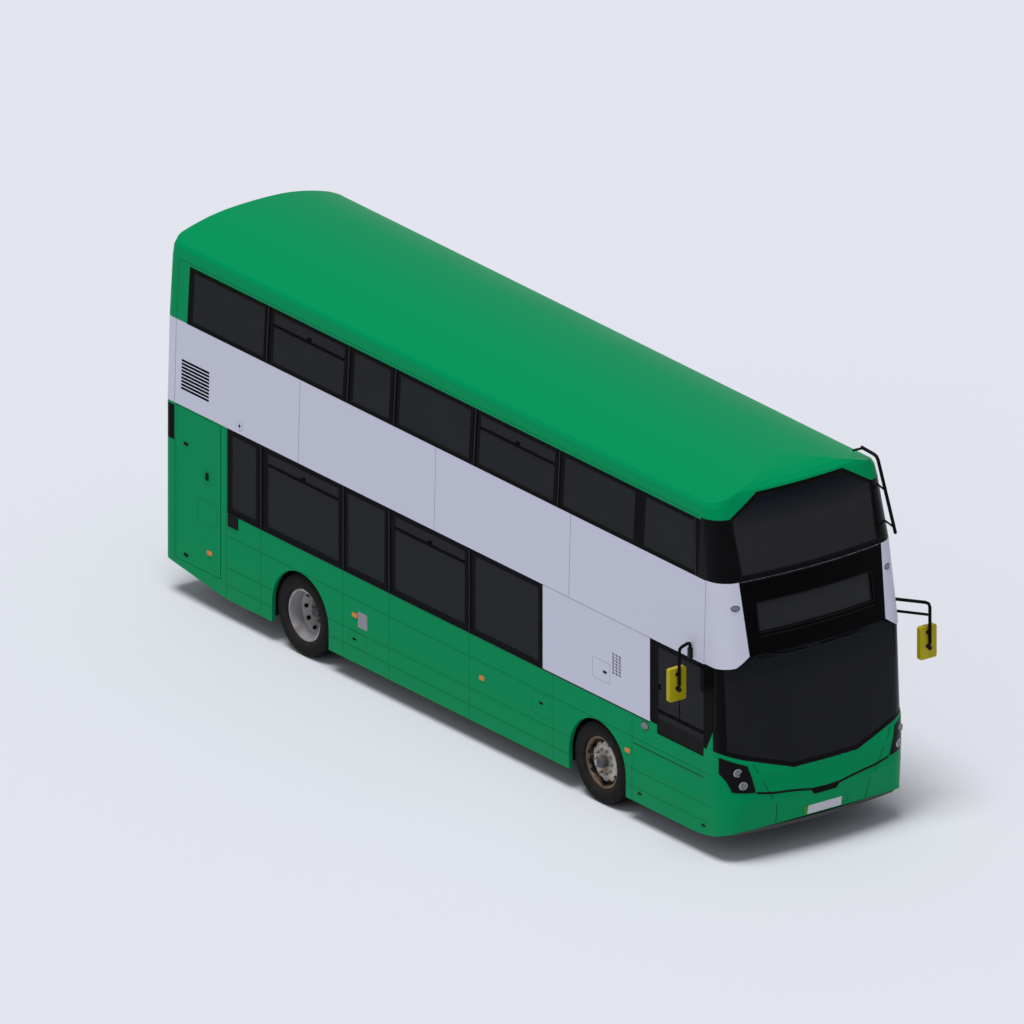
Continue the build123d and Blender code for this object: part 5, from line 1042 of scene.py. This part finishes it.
for x, z, radius in pulleys:
    add_turned(belt_drive, (x, high.y - 0.002, z), rearward, [
        (0, 0), (0, radius * 0.4), (0.018, radius * 0.4), (0.018, radius), (0.024, radius), (0.028, radius - 0.006),
        (0.044, radius - 0.006), (0.048, radius), (0.054, radius), (0.054, radius * 0.7), (0.044, radius * 0.6),
        (0.044, 0.030), (0.060, 0.026), (0.060, 0)], 40)
belt_rings = []
for (x, z, radius), middle in ((pulleys[i], belt_angles[i]) for i in (0, 2, 1)):
    for wrap in range(-4, 5):
        angle = middle + wrap / 4 * 1.05
        belt_rings.append([(x + (radius - 0.003 + out) * math.cos(angle), high.y + y,
                            z + (radius - 0.003 + out) * math.sin(angle)) for out, y in belt_section])
add_bar(belt, belt_rings, True)
add_turned(filters, (-0.30, 4.50, high.z + 0.20), leftward, [
    (0, 0), (0, 0.10)] + [(0.02 + i * 0.012, 0.118 if i % 2 else 0.110) for i in range(36)] + [
    (0.46, 0.12), (0.49, 0.12), (0.49, 0.06), (0.52, 0.05), (0.52, 0)], 36)
add_sleeve(hoses, [(0.20, 4.50, high.z + 0.20), (0.36, 4.50, high.z + 0.20), (0.38, 4.72, high.z + 0.08),
                   (0.33, 4.80, high.z - 0.06)], 0.042)
for route in hose_routes:
    add_sleeve(hoses, [(x, *spot) for x, spot in zip((low.x + 0.02, -0.72, -1.03), route)], 0.030)
for clip, axis in (((-0.46, 4.80, 1.005), (-1, 0, 0.05)), ((-0.46, 4.52, 0.577), (-1, 0, 0))):
    add_turned(belt_drive, clip, axis, [(0, 0.029), (0, 0.033), (0.012, 0.033), (0.012, 0.029)], 20)
place("engine_rocker_cover", cover, cast_aluminium)
place("engine_belt_drive", belt_drive, cast_aluminium)
place("engine_belt", belt, rubber)
place("engine_air_filter", filters, powder_coat)
place("engine_hoses", hoses, rubber)

fins, shader, add, spot = new_material("radiator_fins", Roughness=0.45, Metallic=0.8)
rows = add("TexWave", Vector=spot, Scale=0.32 / fin_pitch, bands_direction="Z")
dirt = add("TexNoise", Vector=spot, Scale=6.0, Detail=5.0)
# The dark bands between the light fin edges are painted shade in the gaps between the fins.
tone = add("Mix", Factor=rows, A="#2c2c2b", B="#8c8c8a", data_type="RGBA")
feed(shader,
     Base_Color=add("Mix", Factor=dirt, A=tone, B="#5a544a", data_type="RGBA"),
     Normal=add("Bump", Height=rows, Strength=0.6, Distance=0.003))
add_block(core, (-1.100, 4.325, 0.50), (-1.040, 4.955, 1.50), 0, 0.004, 0.003)
for z_low, z_high in ((0.42, 0.51), (1.49, 1.58)):
    add_block(tanks, (-1.115, 4.305, z_low), (-1.025, 4.975, z_high), 0, 0.025, 0.008)
for y in (4.300, 4.950):
    add_block(tanks, (-1.110, y, 0.45), (-1.030, y + 0.03, 1.55), 0, 0.005, 0.004)
add_turned(tanks, (-1.07, 4.80, 1.575), up, [
    (0, 0), (0, 0.022), (0.025, 0.022), (0.026, 0.030), (0.036, 0.030), (0.040, 0.024), (0.040, 0)], 20)
place("radiator_core", core, fins)
place("radiator_tanks", tanks, cast_aluminium)

# ---- floors, stairs and linings
# Non-slip vinyl with coloured and mica flecks on plywood floors and steel treads with
# yellow nosings; laminate linings with a fine pebble; a grained cab door.
fleck_pitch = 0.006  # real flecks are 1 to 2 mm; drawn coarser so that they show
stair_width = (-1.208, -0.62)
stair_foot_y = -1.58
stair_going = 0.235
stair_riser = 2.14 / 9
lower_floor_z, rear_floor_z, upper_floor_z = 0.36, 0.72, 2.50

vinyl, shader, add, spot = new_material("flecked_safety_vinyl", Roughness=0.65, Specular_IOR_Level=0.3)
flecks = add("TexVoronoi", Vector=spot, Scale=1 / fleck_pitch)
pick = add("MapRange", Value=flecks, From_Min=0.18, From_Max=0.26, To_Min=0.8, To_Max=0.0)
tone = add("Mix", Factor=pick, A="#3c4146", B="#8b959c", data_type="RGBA")
wear = add("TexNoise", Vector=spot, Scale=2.5, Detail=4.0)
feed(shader,
     Base_Color=add("Mix", Factor=wear, A=tone, B="#4c4a46", data_type="RGBA"),
     Normal=add("Bump", Height=flecks, Strength=0.2, Distance=0.001))
dress(vinyl, "lower_floor", "upper_floor", "staircase")

nosing_yellow = two_tone("yellow_ribbed_nosing", ("Noise", 20.0, 5.0), "#d8b512", "#8a7422", 0.6, 0.3,
                         relief=(0.4, 0.002), grain=("Wave", 40.0, "Y"))
nosings = bmesh.new()
for step in range(8):
    y, z = stair_foot_y - step * stair_going, lower_floor_z + (step + 1) * stair_riser
    add_block(nosings, (stair_width[0] + 0.01, y - 0.045, z - 0.002), (stair_width[1] - 0.005, y + 0.003, z + 0.004),
              2, 0.004, 0.0012)
add_block(nosings, (-0.55, 1.895, rear_floor_z - 0.001), (0.55, 1.945, rear_floor_z + 0.004), 2, 0.004, 0.0012)
place("stair_nosings", nosings, nosing_yellow)

dress(two_tone("pebbled_grey_laminate", ("Noise", 3.0, 3.0), "#8f9294", "#a3a5a4", 0.5, 0.3, relief=(0.2, 0.0008),
               grain=("Voronoi", 450.0)),
      "rear_bulkhead", "cab_partition", "cab_door", "door_header")

# ---- handrails and cab fittings
# Poles and rails are steel tube in yellow nylon coating. The cab has a grained black ABS
# dashboard with a dial binnacle and switches, and a polyurethane steering wheel.
binnacle_depth = (-4.92, -4.73)
binnacle_hoods = ((-0.70, 0.17, 0.075), (-0.40, 0.10, 0.05))
switch_half = (0.011, 0.014)


def grained(name, dark, light, grain):
    """Moulded plastic with a leather-like grain of the given cells a metre."""
    return two_tone(name, ("Voronoi", grain), light, dark, 0.6, 0.25, relief=(0.35, 0.001))


nylon = two_tone("yellow_nylon_coating", ("Noise", 8.0, 4.0), "#c79f06", "#e0b91c", (0.25, 0.45), 0.35)
dash_abs = grained("grained_black_abs", "#101012", "#232326", 260.0)
dress(nylon, "handrails")
dress(dash_abs, "dashboard")
dress(grained("moulded_black_polyurethane", "#0c0c0d", "#1d1d1f", 420.0), "steering_wheel")
dash_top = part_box("dashboard")[1].z
binnacle, buttons = bmesh.new(), bmesh.new()
for x, half, rise in binnacle_hoods:
    add_block(binnacle, (x - half, binnacle_depth[0], dash_top - 0.02),
              (x + half, binnacle_depth[1], dash_top + rise - 0.03), 2, 0.05, 0.008)
for column in range(5):
    for row in range(2):
        x, y = -0.47 + column * 0.032, -4.80 - row * 0.045
        add_block(buttons, (x - switch_half[0], y - switch_half[1], dash_top + 0.018),
                  (x + switch_half[0], y + switch_half[1], dash_top + 0.026), 2, 0.004, 0.0015)
place("dial_binnacle", binnacle, dash_abs)
place("dashboard_switches", buttons, grained("grey_switch_plastic", "#3c3c40", "#5a5a60", 600.0))

# ---- seats
# Foam pads under woven moquette on steel pans: each double bench has two crowned cushions
# and two back pads piped round the edge, in front of a moulded shell with a grab handle.
pad_width = 0.405
pad_slack = 0.006  # the block is smaller by this before it is blown up
pad_dish = 0.006
pad_steps = 20
pad_faces = 620
voxel = 0.010
piping, piping_steps = 0.0045, 40
thread = 0.004  # moquette threads are near 1 mm; drawn coarser so that they show
back_lean = math.radians(8)
bench_half, driver_half = 0.415, 0.235
bench_x = 1.260 - 0.048 - 0.055 - 0.835 / 2
seat_pitch = 0.76
seat_rows = {lower_floor_z: (4.65, 4), rear_floor_z: (7.78, 3), upper_floor_z: (1.56, 12)}  # first row, rows
stairwell = (1.6, 4.3)
driver_place = (-0.70, front_y + 1.48, 0.56)


def made_by(pad):
    """Mesh that the pad's modifiers give."""
    return bpy.data.meshes.new_from_object(pad.evaluated_get(bpy.context.evaluated_depsgraph_get()))


def swollen_pad(name, size, cap):
    """Foam pad from a slightly smaller rounded block: remeshed, blown up as cloth, and capped."""
    shape = bmesh.new()
    x_half, y_half, z_half = [value / 2 - pad_slack for value in size]
    add_bar(shape, [[(x, y, z_half * part) for x, y in rounded((-x_half + inset, x_half - inset),
                                                               (-y_half + inset, y_half - inset), 0.05, 6)]
                    for part, inset in ((-1, 0.03), (-0.6, 0.006), (0, 0), (0.6, 0.006), (1, 0.03))])
    pad = add_object(name, to_mesh(name, shape, None))
    remesh = pad.modifiers.new("remesh", "REMESH")
    remesh.mode = "VOXEL"
    remesh.voxel_size = voxel
    even = made_by(pad)
    pad.modifiers.clear()
    pad.data = even
    before = [vertex.co.copy() for vertex in even.vertices]
    cloth = pad.modifiers.new("foam", "CLOTH")
    cloth.settings.use_pressure = True
    cloth.settings.uniform_pressure_force = 4.0
    cloth.settings.effector_weights.gravity = 0.0
    cloth.settings.quality = 4
    cloth.point_cache.frame_start = 1
    cloth.point_cache.frame_end = pad_steps
    for step in range(1, pad_steps + 1):
        bpy.context.scene.frame_set(step)
    swollen = made_by(pad)
    bpy.context.scene.frame_set(1)
    pad.modifiers.clear()
    pad.data = swollen
    limits = [value / 2 for value in size]
    for vertex, old in zip(pad.data.vertices, before):
        shift = vertex.co - old
        if shift.length > cap:
            vertex.co = old + shift * (cap / shift.length)
        vertex.co = [max(-limit, min(limit, value)) for value, limit in zip(vertex.co, limits)]
        crown = max(0.0, 1 - (vertex.co.x / limits[0]) ** 2) * max(0.0, 1 - (vertex.co.y / limits[1]) ** 2)
        if vertex.co.z > 0:
            vertex.co.z -= pad_dish * (1 - crown)
    thin = pad.modifiers.new("thin", "DECIMATE")
    thin.ratio = min(1.0, pad_faces / max(1, len(pad.data.polygons)))
    light = made_by(pad)
    bpy.data.objects.remove(pad)
    return light


def add_pad(shape, pad_mesh, height, shift):
    """Adds a pad with its piping, at a height on its side, to a shape, moved by shift."""
    start = len(shape.verts)
    shape.from_mesh(pad_mesh)
    shape.verts.ensure_lookup_table()
    for vertex in shape.verts[start:]:
        vertex.co += shift
    pad_skin = BVHTree.FromPolygons([v.co.copy() for v in pad_mesh.vertices],
                                    [list(p.vertices) for p in pad_mesh.polygons])
    loop = [pad_skin.ray_cast(way + Vector((0, 0, height)), -way)[0]
            for way in circle(Vector(), Vector((1, 0, 0)), Vector((0, 1, 0)), 1, piping_steps)]
    rings = []
    for i, spot in enumerate(loop):
        run = (loop[(i + 1) % piping_steps] - loop[i - 1]).normalized()
        rings.append(circle(spot + shift, run.cross(Vector(up)).normalized(), Vector(up), piping, 6))
    add_bar(shape, rings, True)


moquette, shader, add, spot = new_material("woven_moquette", Roughness=0.9, Specular_IOR_Level=0.2, Sheen_Weight=0.35,
                                           Sheen_Roughness=0.5)
check = add("TexChecker", Vector=spot, Color1="#1d3f58", Color2="#17324a", Scale=22.0)
specks = add("TexVoronoi", Vector=spot, Scale=38.0, Randomness=0.6)
pick = add("Math", specks, 0.2, operation="LESS_THAN")
weave = add("TexWave", Vector=spot, Scale=0.32 / thread, Distortion=0.6, bands_direction="DIAGONAL")
feed(shader,
     Base_Color=add("Mix", Factor=pick, A=check, B="#2f8f5d", data_type="RGBA"),
     Normal=add("Bump", Height=weave, Strength=0.4, Distance=0.001))

pad_meshes = {}
for kind, size, cap in (("cushion", (pad_width, 0.42, 0.09), 0.02), ("back", (pad_width, 0.62, 0.07), 0.018)):
    pad_mesh = swollen_pad(f"{kind}_pad", size, cap)
    offset = pad_width / 2 + 0.008
    for seat, shifts in (("", (-offset, offset)), ("driver_", (0,))):
        pads = bmesh.new()
        for shift in shifts:
            add_pad(pads, pad_mesh, size[2] * 0.16, Vector((shift, 0, 0)))
        pad_meshes[seat + kind] = to_mesh(f"{seat or 'bench_'}{kind}", pads, moquette)

seat_places = [driver_place]
for side in (-1, 1):
    for floor_z, (first, count) in seat_rows.items():
        for back in (first + n * seat_pitch for n in range(count)):
            if side > 0 or floor_z != upper_floor_z or not stairwell[0] < back < stairwell[1]:
                seat_places.append((side * bench_x, front_y + back, floor_z))

shells, handles = bmesh.new(), bmesh.new()
lean = Vector((0, math.sin(back_lean), math.cos(back_lean)))
facing = Vector((0, math.cos(back_lean), -math.sin(back_lean)))
foot_shift = 0.31 * math.sin(back_lean)
for number, (x, y, z) in enumerate(seat_places):
    kind, half = ("", bench_half) if number else ("driver_", driver_half)
    cushion = add_object(f"{kind}seat_cushion_{number:02d}", pad_meshes[kind + "cushion"])
    cushion.location = (x, y - 0.225 - foot_shift, z + 0.387)
    backrest = add_object(f"{kind}seat_back_{number:02d}", pad_meshes[kind + "back"])
    backrest.location = (x, y - 0.012, z + 0.70)
    backrest.rotation_euler = (math.pi / 2 - back_lean, 0, 0)
    for pad, fill in ((cushion, 0.7), (backrest, 0.65)):
        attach(pad, "body")
    if not number:
        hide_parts("seats")
    foot = Vector((x, y - foot_shift, z + 0.39))
    rings = []
    for reach, inset, bulge in ((0.0, 0.03, 0.0), (0.03, 0.0, 0.004), (0.30, 0.0, 0.008), (0.56, 0.0, 0.004),
                                (0.612, 0.03, 0.0), (0.62, 0.06, 0.0)):
        rings.append([foot + lean * reach + Vector((sign * (half - inset), 0, 0)) + facing * depth
                      for sign, depth in ((-1, 0.018), (1, 0.018), (1, 0.030 + bulge * 0.4),
                                          (0, 0.031 + bulge * 0.5), (-1, 0.030 + bulge * 0.4))])
    add_bar(shells, rings)
    add_block(shells, (x - half + 0.01, y - 0.43 - foot_shift, z + 0.3405), (x + half - 0.01, y - 0.03, z + 0.352), 2,
              0.03, 0.003)
    if number:
        add_bar(handles, [circle(foot + lean * reach + Vector((side * (half - inset), 0, 0)), lean, facing, 0.006, 8)
                          for reach, side, inset in ((0.605, -1, 0.09), (0.612, -1, 0.10), (0.612, 1, 0.10),
                                                     (0.605, 1, 0.09))])
place("seat_shells_and_pans", shells, grained("moulded_grey_seat_shell", "#2a2c30", "#3d4045", 500.0))
place("seat_grab_rails", handles, nylon)
